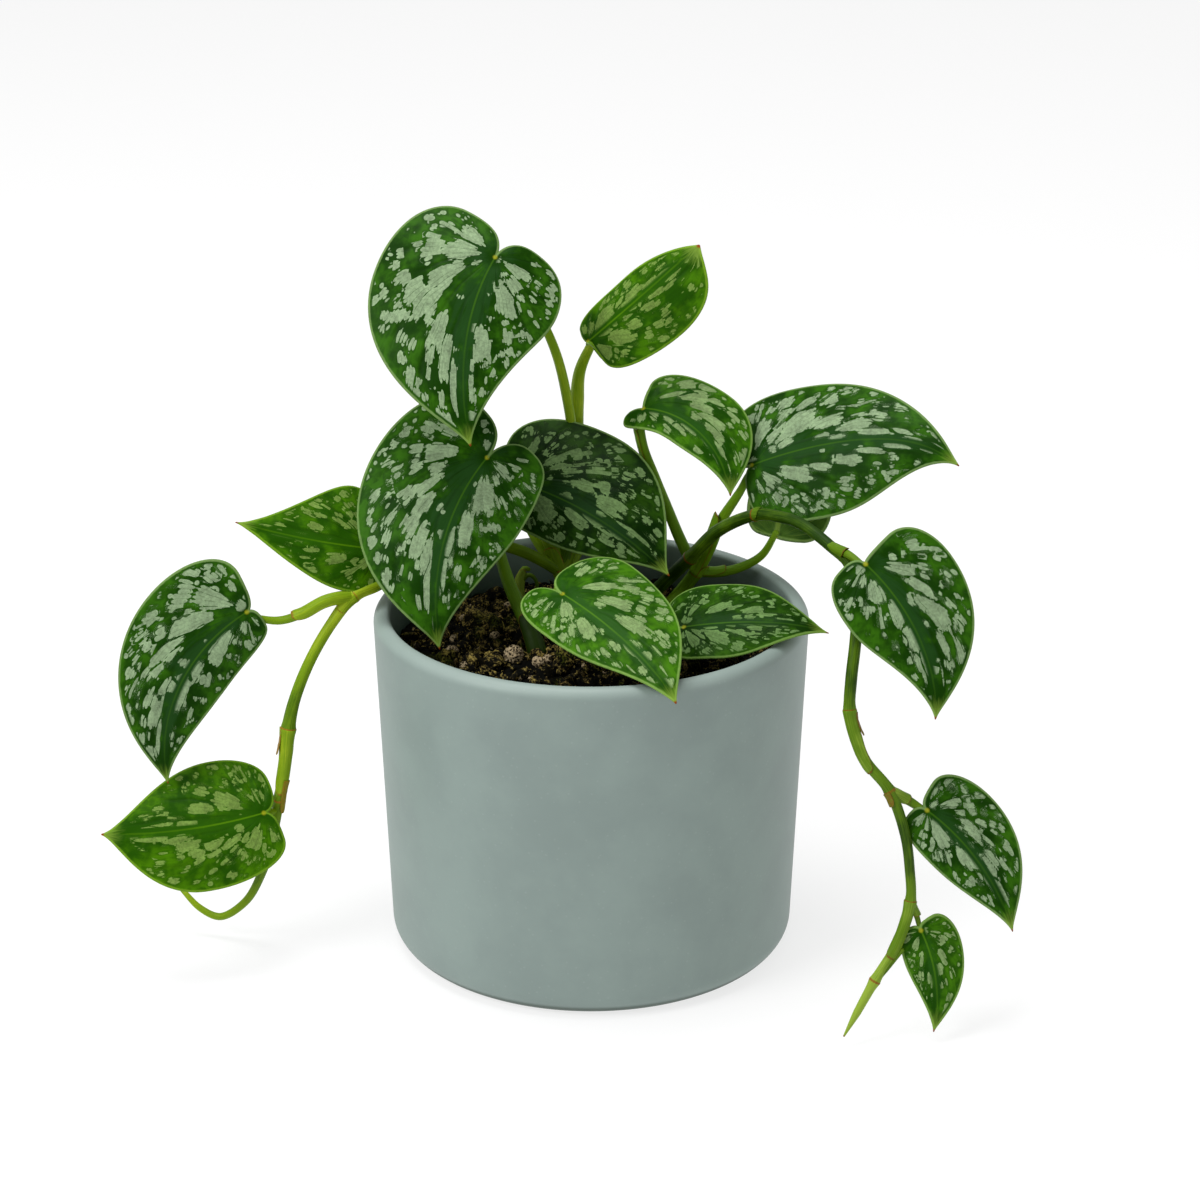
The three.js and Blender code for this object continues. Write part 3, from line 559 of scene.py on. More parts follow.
# Silver patches of the leaves that face the front, for the right half and the left one. Each has its place
# along the blade and out from the midrib, as shares, then half its length along the veins and half its width.
silverPatches = {
    "leaf_crown_top": ([
        (-0.05, 0.33, 4.6, 2.2), (0.04, 0.33, 5.4, 2.8), (0.08, 0.6, 2.5, 4.8), (-0.05, 0.64, 2.3, 1.5),
        (0.17, 0.38, 6.4, 2.5), (0.28, 0.6, 3.6, 3.4), (0.31, 0.46, 7.6, 2.4), (0.37, 0.47, 3.4, 2.8),
        (0.24, 0.74, 2.6, 2.4), (0.45, 0.37, 6.2, 2.9), (0.53, 0.44, 4, 1.8), (0.57, 0.3, 6.6, 2.2),
        (0.5, 0.7, 2.2, 3.4), (0.64, 0.56, 2.4, 1.2), (0.65, 0.8, 2.8, 1.8), (0.7, 0.26, 8, 1.5),
        (0.7, 0.58, 1.3, 2), (0.76, 0.56, 2, 1.5),
    ], [
        (0.01, 0.34, 5, 1.8), (-0.09, 0.5, 1.6, 1), (0.1, 0.36, 3, 2.6), (0.2, 0.36, 6.6, 3.2),
        (0.17, 0.24, 3.6, 1.3), (0.12, 0.66, 2.3, 2.3), (0.21, 0.56, 2.4, 1.6), (0, 0.62, 1.6, 0.9),
        (0.41, 0.63, 2.8, 2.4), (0.37, 0.82, 2.4, 2.2), (0.48, 0.34, 6, 3.3), (0.6, 0.25, 3.2, 0.9),
        (0.58, 0.5, 2.8, 1.2), (0.7, 0.32, 4.6, 1.3), (0.67, 0.66, 1.9, 1.6), (0.76, 0.56, 2.2, 1.1),
        (0.57, 0.84, 2, 1.5), (0.25, 0.84, 1.6, 1.5),
    ]),
    "leaf_crown_left": ([
        (-0.01, 0.5, 3.4, 2), (0.04, 0.7, 2, 2.8), (0.1, 0.44, 5.4, 2.6), (0.16, 0.38, 3.4, 2),
        (0.18, 0.6, 2.7, 5), (0.1, 0.86, 1.7, 1.9), (0.2, 0.92, 1.5, 1.8), (0.22, 0.85, 1.6, 1.4),
        (0.27, 0.7, 1.9, 3), (0.25, 0.38, 4.4, 1.9), (0.24, 0.23, 1.6, 1), (0.32, 0.55, 3, 3),
        (0.34, 0.36, 5.6, 2.6), (0.42, 0.43, 4.6, 3), (0.42, 0.65, 2, 1.4), (0.36, 0.84, 1.8, 1.5),
        (0.37, 0.76, 1.4, 1.6), (0.48, 0.83, 1.5, 0.9), (0.51, 0.7, 2.4, 1.6), (0.55, 0.57, 2, 2.2),
        (0.5, 0.34, 5.4, 2.8), (0.55, 0.24, 6, 1.9), (0.6, 0.36, 2, 1), (0.65, 0.64, 2, 1.1),
        (0.65, 0.5, 2, 1.1), (0.71, 0.26, 7, 1.6), (0.77, 0.5, 2, 1.3), (0.87, 0.3, 2.5, 0.7),
    ], [
        (0, 0.3, 3.4, 1.9), (-0.04, 0.42, 1.6, 1.5), (-0.12, 0.45, 2, 0.9), (0.07, 0.33, 2.5, 1.5),
        (0.18, 0.32, 6.4, 3.4), (0.15, 0.1, 1, 0.9), (0.16, 0.56, 2, 2), (0.07, 0.68, 2, 2.2),
        (-0.01, 0.73, 1.2, 1.1), (0.06, 0.85, 1.2, 1.2), (-0.06, 0.88, 1.5, 1), (0.15, 0.84, 1.8, 1.4),
        (0.33, 0.62, 2.2, 4), (0.38, 0.32, 6, 2.4), (0.47, 0.16, 5, 1.3), (0.56, 0.3, 3, 1.2),
        (0.62, 0.5, 2.4, 1.7), (0.63, 0.22, 5.6, 1.2), (0.72, 0.2, 3, 0.9), (0.75, 0.55, 2.6, 1.2),
        (0.57, 0.83, 1.3, 0.9), (0.64, 0.85, 1.4, 0.8), (0.52, 0.84, 2, 0.8), (0.45, 0.85, 1, 1),
        (0.84, 0.15, 2.5, 0.6),
    ]),
    "leaf_wide_right": ([
        (0.08, 0.36, 3.6, 1.8), (0.02, 0.42, 2.4, 0.8), (0.12, 0.58, 1.8, 3.4), (0.21, 0.36, 6.2, 2.9),
        (0.33, 0.36, 3.6, 1.6), (0.24, 0.74, 2.2, 1.5), (0.2, 0.84, 2.6, 1.4), (0.31, 0.67, 0.9, 0.6),
        (0.35, 0.87, 1.9, 1), (0.43, 0.93, 1.2, 0.5), (0.46, 0.36, 5, 2.4), (0.57, 0.28, 5, 1.4),
        (0.45, 0.68, 2.5, 3.4), (0.61, 0.55, 1.3, 1), (0.59, 0.78, 1.8, 2.4), (0.7, 0.24, 4.8, 1.3),
        (0.69, 0.48, 2, 2.4), (0.7, 0.8, 1.6, 1.2), (0.83, 0.3, 2.2, 0.9), (0.78, 0.9, 1.6, 0.6),
        (0.89, 0.3, 1.6, 0.7),
    ], [
        (0.06, 0.42, 5.4, 2.1), (0.13, 0.34, 4.6, 2), (0.22, 0.4, 7.4, 3.2), (0.17, 0.17, 3, 1.4),
        (0.17, 0.78, 2.6, 2.2), (0.17, 0.62, 2.4, 2), (0.11, 0.72, 1.3, 1.2), (0.04, 0.7, 2, 0.9),
        (0.07, 0.86, 1, 1), (0.24, 0.92, 1.6, 0.9), (0.27, 0.72, 3, 1.5), (0.33, 0.53, 1, 0.8),
        (0.38, 0.74, 2.3, 3.2), (0.44, 0.84, 1.2, 0.6), (0.37, 0.38, 5, 2.6), (0.5, 0.32, 5.4, 2.2),
        (0.42, 0.13, 3.2, 1.3), (0.34, 0.17, 2.4, 1), (0.51, 0.51, 2, 0.9), (0.51, 0.73, 2.4, 1.6),
        (0.57, 0.76, 1.6, 0.8), (0.6, 0.55, 2.6, 2.4), (0.6, 0.22, 6, 1.6), (0.7, 0.33, 4, 1.6),
        (0.76, 0.22, 3.6, 1.4), (0.77, 0.45, 2.5, 0.9), (0.62, 0.78, 1.2, 0.8), (0.67, 0.77, 1.4, 0.6),
        (0.72, 0.6, 0.9, 0.9), (0.88, 0.5, 3, 0.7),
    ]),
    "leaf_vine_left_2": ([
        (0.09, 0.42, 4.8, 2.6), (0.05, 0.72, 1.7, 1.6), (0.1, 0.9, 2.6, 1.1), (0, 0.8, 1.6, 0.9),
        (0, 0.48, 1.6, 1), (0.17, 0.73, 2.3, 4.2), (0.23, 0.4, 7, 2.7), (0.33, 0.63, 3, 2.8),
        (0.31, 0.86, 2, 2.2), (0.21, 0.9, 1, 1), (0.28, 0.57, 1, 0.9), (0.37, 0.44, 7, 1.9),
        (0.38, 0.36, 4, 1.6), (0.46, 0.46, 3.8, 2), (0.47, 0.8, 2, 0.9), (0.5, 0.62, 1.8, 0.9),
        (0.37, 0.85, 1.6, 1.6), (0.53, 0.3, 4, 1.3), (0.64, 0.38, 5.6, 2.8), (0.6, 0.52, 3, 1.6),
        (0.58, 0.72, 2.2, 2), (0.7, 0.6, 1.8, 0.8), (0.76, 0.6, 1.4, 0.9), (0.75, 0.3, 5.5, 1.2),
        (0.84, 0.55, 2, 1),
    ], [
        (0.06, 0.35, 2.4, 1.5), (-0.02, 0.4, 1.2, 0.7), (0.2, 0.3, 6.6, 2.2), (0.12, 0.55, 1.6, 0.9),
        (0.04, 0.7, 1.5, 0.9), (0.22, 0.6, 1.6, 3.6), (0.31, 0.85, 1.4, 0.6), (0.38, 0.22, 4.2, 1.4),
        (0.4, 0.53, 2.2, 2.8), (0.52, 0.22, 6.4, 1.7), (0.58, 0.4, 1.4, 1.2), (0.6, 0.65, 2, 0.9),
        (0.7, 0.08, 3.6, 0.6), (0.74, 0.42, 3, 1.4), (0.78, 0.9, 2, 0.5),
    ]),
    "leaf_vine_right_1": ([
        (0.17, 0.28, 4, 2.4), (0.05, 0.3, 1.8, 1.6), (0.22, 0.5, 2.2, 3.2), (0.1, 0.72, 2, 1.4),
        (0, 0.75, 1.4, 1), (0.33, 0.53, 1.3, 2), (0.34, 0.2, 4.6, 2), (0.5, 0.2, 4.6, 2.6),
        (0.5, 0.35, 2, 1.2), (0.5, 0.62, 2.2, 1.4), (0.64, 0.42, 3, 1.3), (0.67, 0.14, 4.8, 1.5),
        (0.77, 0.15, 3, 0.8), (0.75, 0.45, 2, 0.7),
    ], [
        (0.16, 0.35, 4.8, 2.2), (0.23, 0.55, 2.4, 3.8), (0.08, 0.74, 1.8, 2.6), (0.14, 0.76, 1.2, 1),
        (0.18, 0.88, 1.6, 0.9), (0.32, 0.8, 2.2, 2.8), (0.29, 0.42, 6, 2.2), (0.35, 0.55, 2.4, 1.4),
        (0.42, 0.44, 6.4, 2.8), (0.43, 0.68, 2, 1.6), (0.42, 0.83, 1.6, 0.8), (0.52, 0.7, 1.5, 0.7),
        (0.5, 0.92, 1.8, 0.7), (0.38, 0.27, 2.6, 0.6), (0.6, 0.46, 4.4, 1.6), (0.66, 0.8, 3.2, 1.5),
        (0.75, 0.68, 1.2, 0.6), (0.74, 0.4, 3, 0.6),
    ]),
    "leaf_folded": ([
        (0.1, 0.25, 2.2, 1), (0.12, 0.5, 2.2, 0.5), (0.25, 0.3, 2.6, 1.4), (0.42, 0.22, 3.6, 1.5),
        (0.35, 0.45, 3, 0.9), (0.28, 0.7, 2.6, 0.6), (0.57, 0.22, 3, 1.2), (0.72, 0.3, 2, 0.8),
    ], [
        (0.16, 0.47, 5, 1.1), (0.19, 0.8, 3, 2.2), (0.29, 0.88, 3, 1.8), (0.28, 0.58, 5, 2),
        (0.38, 0.72, 2.6, 1.6), (0.37, 0.46, 3.6, 2), (0.46, 0.42, 4.6, 1.7), (0.55, 0.3, 5, 1.8),
        (0.55, 0.76, 1.6, 2.2), (0.5, 0.85, 1.3, 0.9), (0.65, 0.8, 1.5, 0.8), (0.65, 0.58, 1.2, 0.8),
        (0.75, 0.55, 2, 1.2), (0.68, 0.22, 3.4, 1.2), (0.83, 0.35, 2.6, 0.6),
    ]),
    "leaf_front": ([
        (-0.07, 0.5, 2.4, 1.2), (0, 0.52, 2.4, 1.2), (0.05, 0.74, 1.5, 3), (0.1, 0.33, 3.6, 2.4),
        (0.19, 0.28, 2.2, 1.4), (0.28, 0.4, 6, 2.4), (0.23, 0.6, 3, 1.6), (0.14, 0.83, 2, 0.8),
        (0.27, 0.86, 1.6, 0.7), (0.37, 0.92, 2, 0.6), (0.46, 0.83, 2.4, 0.6), (0.5, 0.68, 2.2, 1.1),
        (0.5, 0.38, 2.8, 2), (0.57, 0.2, 3, 1.5), (0.6, 0.85, 1.2, 0.7), (0.71, 0.2, 4.6, 1.2),
        (0.68, 0.75, 2.4, 0.5), (0.8, 0.2, 2.6, 0.8),
    ], [
        (-0.06, 0.5, 3.2, 1.4), (-0.01, 0.56, 1.8, 1.8), (-0.06, 0.93, 1.6, 0.9), (0.02, 0.82, 2, 2),
        (0.1, 0.42, 5.4, 2.2), (0.1, 0.58, 2.4, 1.4), (0.2, 0.72, 2.3, 3), (0.18, 0.9, 1.6, 0.8),
        (0.26, 0.4, 5.2, 2.4), (0.33, 0.78, 2, 2.6), (0.46, 0.8, 1.7, 1.2), (0.39, 0.6, 2.4, 1.8),
        (0.46, 0.36, 5.6, 2.8), (0.57, 0.14, 2.2, 1.1), (0.67, 0.45, 2.4, 1.5), (0.64, 0.68, 1.8, 0.7),
        (0.64, 0.88, 1.8, 0.5), (0.8, 0.42, 2.4, 1),
    ]),
}
# The other leaves are marked like one of these, with its halves changed over.
markedLike = {
    "leaf_crown_young": "leaf_wide_right", "leaf_crown_shaded": "leaf_crown_left",
    "leaf_rim_right": "leaf_wide_right", "leaf_vine_right_2": "leaf_crown_left",
    "leaf_vine_right_3": "leaf_front", "leaf_vine_left_1": "leaf_front",
    "leaf_vine_left_3": "leaf_crown_left", "leaf_back_right": "leaf_wide_right",
    "leaf_back_left": "leaf_crown_top", "leaf_back_middle": "leaf_front",
}


def veinAngle(x, y, length):
    # the angle at the notch off the midrib, and a share of the angle at the tip: alike along each vein
    return np.arctan2(x, y) + bladeShape["veinTurn"] * np.arctan2(x, length - y)


def patchField(grid, length, name, number):
    # how far inside a silver patch a point lies, in mm: the highest, over all patches, of
    # a (1 - ((along / a)^3 + (across / b)^3)^(1/3)), along and across the veins at the patch,
    # and by how much it tops the second highest. Patches lie out from the midrib at w^(1 + pull t).
    shape = bladeShape
    rng = np.random.default_rng(shape["seed"] + number)
    x, y, side = grid["x"], grid["y"], grid["side"]
    fromNotch, angle = np.hypot(x, y), veinAngle(x, y, length)
    field = np.full(x.shape, -shape["fieldReach"])
    second = field.copy()
    own = name in silverPatches
    patches = silverPatches[name if own else markedLike[name]]
    for k, half in enumerate((1, -1)):
        on = side == half
        flatY, halfWidth = y[on], grid["halfWidth"][on]
        order = np.argsort(flatY)
        for t, w, a, b in patches[k if own else 1 - k]:
            if not own:
                shift, scale = shape["borrowedShift"], length / shape["borrowedLength"]
                t, w = t + rng.uniform(-shift, shift), w * rng.uniform(*shape["borrowedOut"])
                a, b = (size * rng.uniform(*shape["borrowedSize"]) * scale for size in (a, b))
            patchY = t * length
            reach = w ** (1 + shape["pull"] * max(t, 0))
            patchX = reach * np.interp(patchY, flatY[order], halfWidth[order])
            centre = np.hypot(patchX, patchY)
            along = np.abs(fromNotch - centre) / a
            across = np.abs(angle - veinAngle(patchX, patchY, length)) * centre / b
            inside = a * (1 - np.cbrt(along ** 3 + across ** 3))
            second = np.where(on, np.maximum(second, np.minimum(field, inside)), second)
            field = np.where(on, np.maximum(field, inside), field)
    return field, field - second


def makeLeaf(name, leaf, number, finishes):
    # The sheet swells by quilting sin^2(n pi s) 4w (1 - w) and sinks over the midrib; the ridge is below it.
    # Groove and ridge are bells across the midrib, exp(-(x / width)^2).
    shape = bladeShape
    grid, length = bladeGrid(leaf)
    points, x, s, w, reach = (grid[key] for key in ("points", "x", "s", "w", "reach"))
    normals = sheetNormals(points)
    size = length / shape["usualLength"]
    swell = shape["quilting"] * size * np.sin(pi * shape["sideVeins"] * s) ** 2 * 4 * w * (1 - w)
    channel = shape["groove"] * size * bump(x, 0, shape["grooveWidth"] * size) * (1 - 0.6 * s)
    points = points + normals * (swell - channel)[..., None]
    half = 0.5 * (shape["thickness"] + (shape["marginThickness"] - shape["thickness"]) * w ** 3)
    half = half * (1 - shape["thinTip"] * ease(s, 0.9, 1))
    ridge = shape["ridge"] * size * bump(x, 0, shape["ridgeWidth"] * size) * (1 - s) * ease(s, 0, 0.02)
    allPoints, faces, source, upper, lower = closedSheet(points, sheetNormals(points), half, half + ridge)

    field, lead = patchField(grid, length, name, number)
    spotted = ease(reach, 0.5, 0.72) if name in silverPatches else ease(reach, 0.4, 0.6)
    attributes = pickedValues({
        "flatMap": (x * grid["side"], grid["y"], length + 0 * x),
        "zones": (grid["gap"], field, reach),
        "spotting": (0.3 + 0.7 * spotted, 7 * number + 0 * x, lead),
    }, source)
    look = leaf["look"]
    faceMaterial = np.zeros(len(faces), int)
    faceMaterial[upper:upper + lower] = 1
    materials = [finishes[look].material, finishes["under"].material]
    slot = "leaf_young" if look == "young" else "leaf"
    piece = name.replace("leaf_", "blade_")
    addPiece(piece, allPoints, faces, attributes, materials, slot, [name], faceMaterial)


# The last two looks are darker copies of the green for leaves that lie in shade: painted shade.
leafLooks = {
    "mature": {
        "green": rgb(46, 92, 10), "deep": rgb(18, 52, 2), "midribBandSheen": rgb(32, 66, 26),
        "silver": rgb(136, 158, 121), "edge": rgb(114, 144, 82), "line": rgb(56, 96, 18), "spots": 0.85,
    },
    "fresh": {
        "green": rgb(62, 112, 12), "deep": rgb(24, 64, 2), "midribBandSheen": rgb(38, 80, 20),
        "silver": rgb(129, 155, 99), "edge": rgb(120, 156, 74), "line": rgb(74, 120, 20), "spots": 0.85,
    },
    "young": {
        "green": rgb(64, 112, 4), "deep": rgb(30, 72, 1), "midribBandSheen": rgb(40, 84, 6),
        "silver": rgb(114, 143, 66), "edge": rgb(112, 152, 36), "line": rgb(84, 130, 10), "spots": 0.8,
    },
    "dim": {
        "green": rgb(48, 90, 8), "deep": rgb(16, 46, 1), "midribBandSheen": rgb(26, 60, 18),
        "silver": rgb(102, 134, 76), "edge": rgb(112, 148, 68), "line": rgb(62, 104, 20), "spots": 0.85,
    },
    "shaded": {
        "green": rgb(34, 66, 6), "deep": rgb(8, 32, 1), "midribBandSheen": rgb(26, 54, 22),
        "silver": rgb(98, 124, 76), "edge": rgb(108, 138, 74), "line": rgb(48, 82, 18), "spots": 0.8,
    },
}
leafInk = {
    "notch": rgb(150, 150, 26), "point": rgb(126, 156, 56), "dryTip": rgb(132, 64, 20),
    "under": rgb(52, 88, 24), "underPale": rgb(84, 118, 40), "underVein": rgb(118, 146, 56),
    "underMidrib": rgb(128, 156, 60), "underEdge": rgb(124, 156, 76),
}
# How the markings run, in millimetres unless a note says more. The pairs from `brim` on are the two ends of
# a smooth step.
leafMarks = {
    "wander": 0.8,  # how far stripes stray from their vein, in stripes
    "pieces": 0.17,  # broken pieces of a stripe to a millimetre
    "ragged": (2.2, 0.6, 2.6),  # ends of patches: by piece, by stripe and smoothly along it
    "waves": 1.8,  # how far an outline wanders
    "rounding": 0.7,  # how far a stripe's sides fall back
    "inset": 0.3,  # how far every outline falls back
    "lead": (0.5, 0.45),  # how fast and how soon neighbouring patches part
    "spotGrid": 0.27,  # places for spots to a millimetre, and for dots
    "dotGrid": 0.5,
    "spotSize": (1.05, 0.9),  # the least radius, and how much more at most
    "dotSize": (0.3, 0.6),
    "dotShare": (0.04, 0.2),  # share of the dots that show, and how much more near the margin
    "hidden": 9.0,  # depth that takes a spot away
    "brim": (0.0, 0.2),  # softness of a patch's edge
    "besideMidrib": (0.7, 1.8),
    "besideMargin": (0.8, 1.3),
    "beforeTip": (1.5, 5.0),
    "midrib": (0.12, 0.4),
    "margin": (0.2, 0.6),
    "creases": 3.1,  # side veins to a radian
    "dryTip": (0.5, 1.3),
    "relief": 0.15,  # height of the finest relief
}


def veinPlaces(f):
    # x, y and length of the flat blade, the distances from midrib, notch and tip, and the angle of the vein
    x, y, length = f.parts(f.attribute("flatMap"))
    out = f.absolute(x)
    toGo = length - y
    fromNotch = f.maths("SQRT", out * out + y * y)
    toTip = f.maths("SQRT", out * out + toGo * toGo)
    angle = f.maths("ARCTAN2", out, y) + f.maths("ARCTAN2", out, toGo) * bladeShape["veinTurn"]
    return x, y, length, out, fromNotch, toTip, angle


def leafFinish(name, look):
    # silver patches where the field is high, cut into stripes along the veins, on a clouded green
    f = Finish("leaf " + name, Roughness=0.42, Specular_IOR_Level=0.03)
    shape, marks = bladeShape, leafMarks
    x, y, length, out, fromNotch, toTip, angle = veinPlaces(f)
    toMargin, field, reach = f.parts(f.attribute("zones"))
    spotting, seed, lead = f.parts(f.attribute("spotting"))
    own = seed + (x > 0.0) * 3.3
    flat = f.vector(x, y, own)

    # stripes along the veins, twice as many past `doubling` and again further out, with ends of their own
    wander = f.noise(flat, 0.13, 1.0) - 0.5
    stripes = (angle * shape["veinCount"] + wander * marks["wander"]) * (
        1.0 + (fromNotch > shape["doubling"]) + (fromNotch > 2.2 * shape["doubling"]) * 2.0
    )
    stripe = f.maths("FLOOR", stripes)
    within = f.maths("FRACT", stripes) - 0.5
    draw = f.chance(f.vector(stripe, own, 0.0))
    broken = f.maths("FLOOR", fromNotch * marks["pieces"] + draw * 3.0)
    piece = f.chance(f.vector(stripe, own, 9.0 + broken))
    stretch = f.noise(f.vector(fromNotch * 0.3, stripe * 3.7, own), 1.0, 1.0) - 0.5
    byPiece, byStripe, smooth = marks["ragged"]
    ragged = (piece - 0.5) * byPiece + (draw - 0.5) * byStripe + stretch * smooth
    rounding = within * within * 4.0
    waves = f.noise(flat, 0.42, 2.0) - 0.5
    patch = field + ragged * 1.0 + waves * marks["waves"] - rounding * marks["rounding"] - marks["inset"]
    partingRate, parting = marks["lead"]
    apart = lead * partingRate - parting + ragged * 0.35 + waves * 1.2
    patch = f.maths("MINIMUM", patch, apart)

    # spots between the patches and the margin, and small dots
    spotPlace = f.vector(x * marks["spotGrid"], y * marks["spotGrid"], own)
    spotDraw, spotDraw2, _ = f.parts(f.cells(spotPlace, 1.0, 1))
    away = f.cells(spotPlace, 1.0) * 3.7
    narrow = 1.0 - f.step(reach, 0.85, 0.98) * 0.5
    least, more = marks["spotSize"]
    spot = (least + spotDraw * more) * narrow - away + ragged * 0.4 + waves * 1.5 - rounding * 0.4 + 0.2
    spot = f.maths("MINIMUM", spot, -0.8 - patch)
    spot = spot - (spotDraw2 > spotting * look["spots"]) * marks["hidden"]
    dotPlace = f.vector(x * marks["dotGrid"], y * marks["dotGrid"], own + 5.0)
    dotDraw, dotDraw2, _ = f.parts(f.cells(dotPlace, 1.0, 1))
    least, more = marks["dotSize"]
    dot = least + dotDraw * more - f.cells(dotPlace, 1.0) * 2.0 + ragged * 0.15
    few, added = marks["dotShare"]
    dot = dot + waves - (dotDraw2 > few + f.step(reach, 0.6, 0.9) * added) * marks["hidden"]
    depth = f.maths("MAXIMUM", f.maths("MAXIMUM", patch, spot), dot)
    silver = f.step(depth, *marks["brim"])
    silver = silver * f.step(out, *marks["besideMidrib"]) * f.step(toMargin, *marks["besideMargin"])
    silver = silver * f.step(toTip, *marks["beforeTip"])
    rimLight = f.fade(depth, 0.15, 0.6)
    seam = f.step(f.absolute(within), 0.4, 0.47)
    seam = seam * f.step(stretch + (draw - 0.5) * 0.4, 0.0, 0.1) * f.step(depth, 0.3, 0.8)

    # the green below them: clouded, deeper beside the patches, a dark strip along the midrib whose grey-blue
    # cast is a painted sheen, and painted shade in the side-vein creases
    cloud = f.noise(flat, 0.16, 3.0)
    green = f.mix(f.step(cloud + (reach - 0.6) * 0.25, 0.36, 0.66), look["deep"], look["green"])
    green = f.mix(f.step(depth, -1.4, 0.0) * 0.6, green, look["deep"])
    fibres = f.noise(f.vector(angle * 26.0, fromNotch * 0.1, own), 1.0, 2.0)
    midribBandSheen = f.fade(reach + (fibres - 0.5) * 0.5 + (cloud - 0.5) * 0.5, 0.06, 0.26)
    midribBandSheen = midribBandSheen * f.step(toTip, 5.0, 20.0) * f.step(fromNotch, 1.0, 5.0)
    # painted sheen: the dark strip along the midrib takes a grey-blue cast
    green = f.mix(midribBandSheen * 0.7, green, look["midribBandSheen"])
    crease = f.maths("FRACT", angle * marks["creases"] + wander * 0.5) - 0.5
    crease = f.fade(f.absolute(crease), 0.0, 0.16) * f.step(out, 0.5, 3.0) * f.step(toMargin, 1.0, 6.0)
    # painted shade: the green is darkened along the side-vein creases
    green = f.tint(green, 0.82 + fibres * 0.4 - crease * 0.2)

    # silver with a fine net, seams along some veins, paler outlines and painted shade in the side-vein
    # creases
    net = f.fade(f.cells(flat, 2.2, 0, "DISTANCE_TO_EDGE"), 0.0, 0.14)
    mottle = f.step(f.noise(flat, 1.3, 3.0, 0.7), 0.28, 0.72)
    veil = f.step(f.noise(flat, 0.22, 2.0), 0.3, 0.7)
    tone = 0.5 + mottle * 0.42 + veil * 0.22 + net * 0.06 + rimLight * 0.12 + fibres * 0.12
    # painted shade: the silver is darkened a little along the creases
    silverTone = f.tint(look["silver"], tone - crease * 0.1)
    colour = f.mix(silver * (0.96 - seam * 0.5), green, silverTone)

    # midrib, margin, notch and tip
    midline = f.fade(out, *marks["midrib"]) * f.step(toTip, 1.0, 10.0)
    colour = f.mix(midline * (0.7 - f.step(y / length, 0.2, 0.6) * 0.4), colour, look["line"])
    hatch = f.noise(f.vector(angle * 40.0, toMargin * 0.6, own), 1.0, 1.0)
    margin = f.fade(toMargin + (hatch - 0.5) * 0.4, *marks["margin"])
    colour = f.mix(margin * 0.9, colour, f.tint(look["edge"], 0.6 + hatch * 0.6))
    colour = f.mix(f.fade(fromNotch, 0.3, 1.0) * 0.8, colour, leafInk["notch"])
    colour = f.mix(f.fade(toTip + (hatch - 0.5) * 5.0, 1.0, 7.0) * 0.65, colour, leafInk["point"])
    colour = f.mix(f.fade(toTip, *marks["dryTip"]), colour, leafInk["dryTip"])
    f.paint(Base_Color=colour, Roughness=0.36 + silver * 0.1 + mottle * 0.08)
    grain = f.noise(flat, 3.0, 2.0)
    height = silver * 0.3 + net * silver * 0.15 + grain * 0.3 + margin * 0.4 + fibres * 0.5 - crease * 1.6
    f.raised(height, 0.35, marks["relief"] * mm)
    return f


def undersideFinish():
    # paler, with raised side veins, midrib and margin
    f = Finish("leaf underside", Roughness=0.45, Specular_IOR_Level=0.16)
    x, y, length, out, fromNotch, toTip, angle = veinPlaces(f)
    toMargin = f.parts(f.attribute("zones"))[0]
    flat = f.vector(x, y, length)
    cloud = f.noise(flat, 0.2, 3.0)
    fibres = f.noise(f.vector(angle * 22.0, fromNotch * 0.08, length), 1.0, 2.0)
    colour = f.mix(f.step(cloud * 0.6 + fibres * 0.4, 0.35, 0.65), leafInk["under"], leafInk["underPale"])
    vein = f.fade(f.absolute(f.maths("FRACT", angle * 3.2) - 0.5), 0.02, 0.07)
    colour = f.mix(vein * 0.45, colour, leafInk["underVein"])
    colour = f.mix(f.fade(out, 0.5, 1.1) * 0.8, colour, leafInk["underMidrib"])
    colour = f.mix(f.fade(toMargin, 0.3, 0.8), colour, leafInk["underEdge"])
    colour = f.mix(f.fade(toTip, *leafMarks["dryTip"]), colour, leafInk["dryTip"])
    f.paint(Base_Color=colour, Roughness=0.44 + cloud * 0.08)
    f.raised(vein * 0.6 + fibres * 0.5 + f.noise(flat, 2.5, 2.0) * 0.3, 0.3, 0.2 * mm)
    return f


leafFinishes = {name: leafFinish(name, look) for name, look in leafLooks.items()}
leafFinishes["under"] = undersideFinish()
for number, (name, leaf) in enumerate(leaves.items()):
    makeLeaf(name, leaf, number, leafFinishes)
print("leaves:", len(leaves))


# stems

stemShape = {
    "sides": 18,
    "step": 0.6,  # distance between rings of points
    "planted": 22,  # how far under its first point a planted stalk begins, and from where it stands upright
    "upright": 7,
    "swelling": 0.22,  # how far a node stands out, and how far its ring does on top of that
    "swellingWidth": 1.5,
    "ring": 0.12,
    "ringWidth": 0.4,
    "ribs": 5,
    "ribHeight": 0.02,
    "palePart": 12,  # length of the pale part after a node
    "underBlade": (1.5, 0.6, 0.5),  # a petiole's end: past the notch, below it, and a share of its radius
    "endTaper": 0.75,
    "tone": 0.5,  # where a stalk gives none
    "farAway": 99,  # distance to a blade that isn't there
}

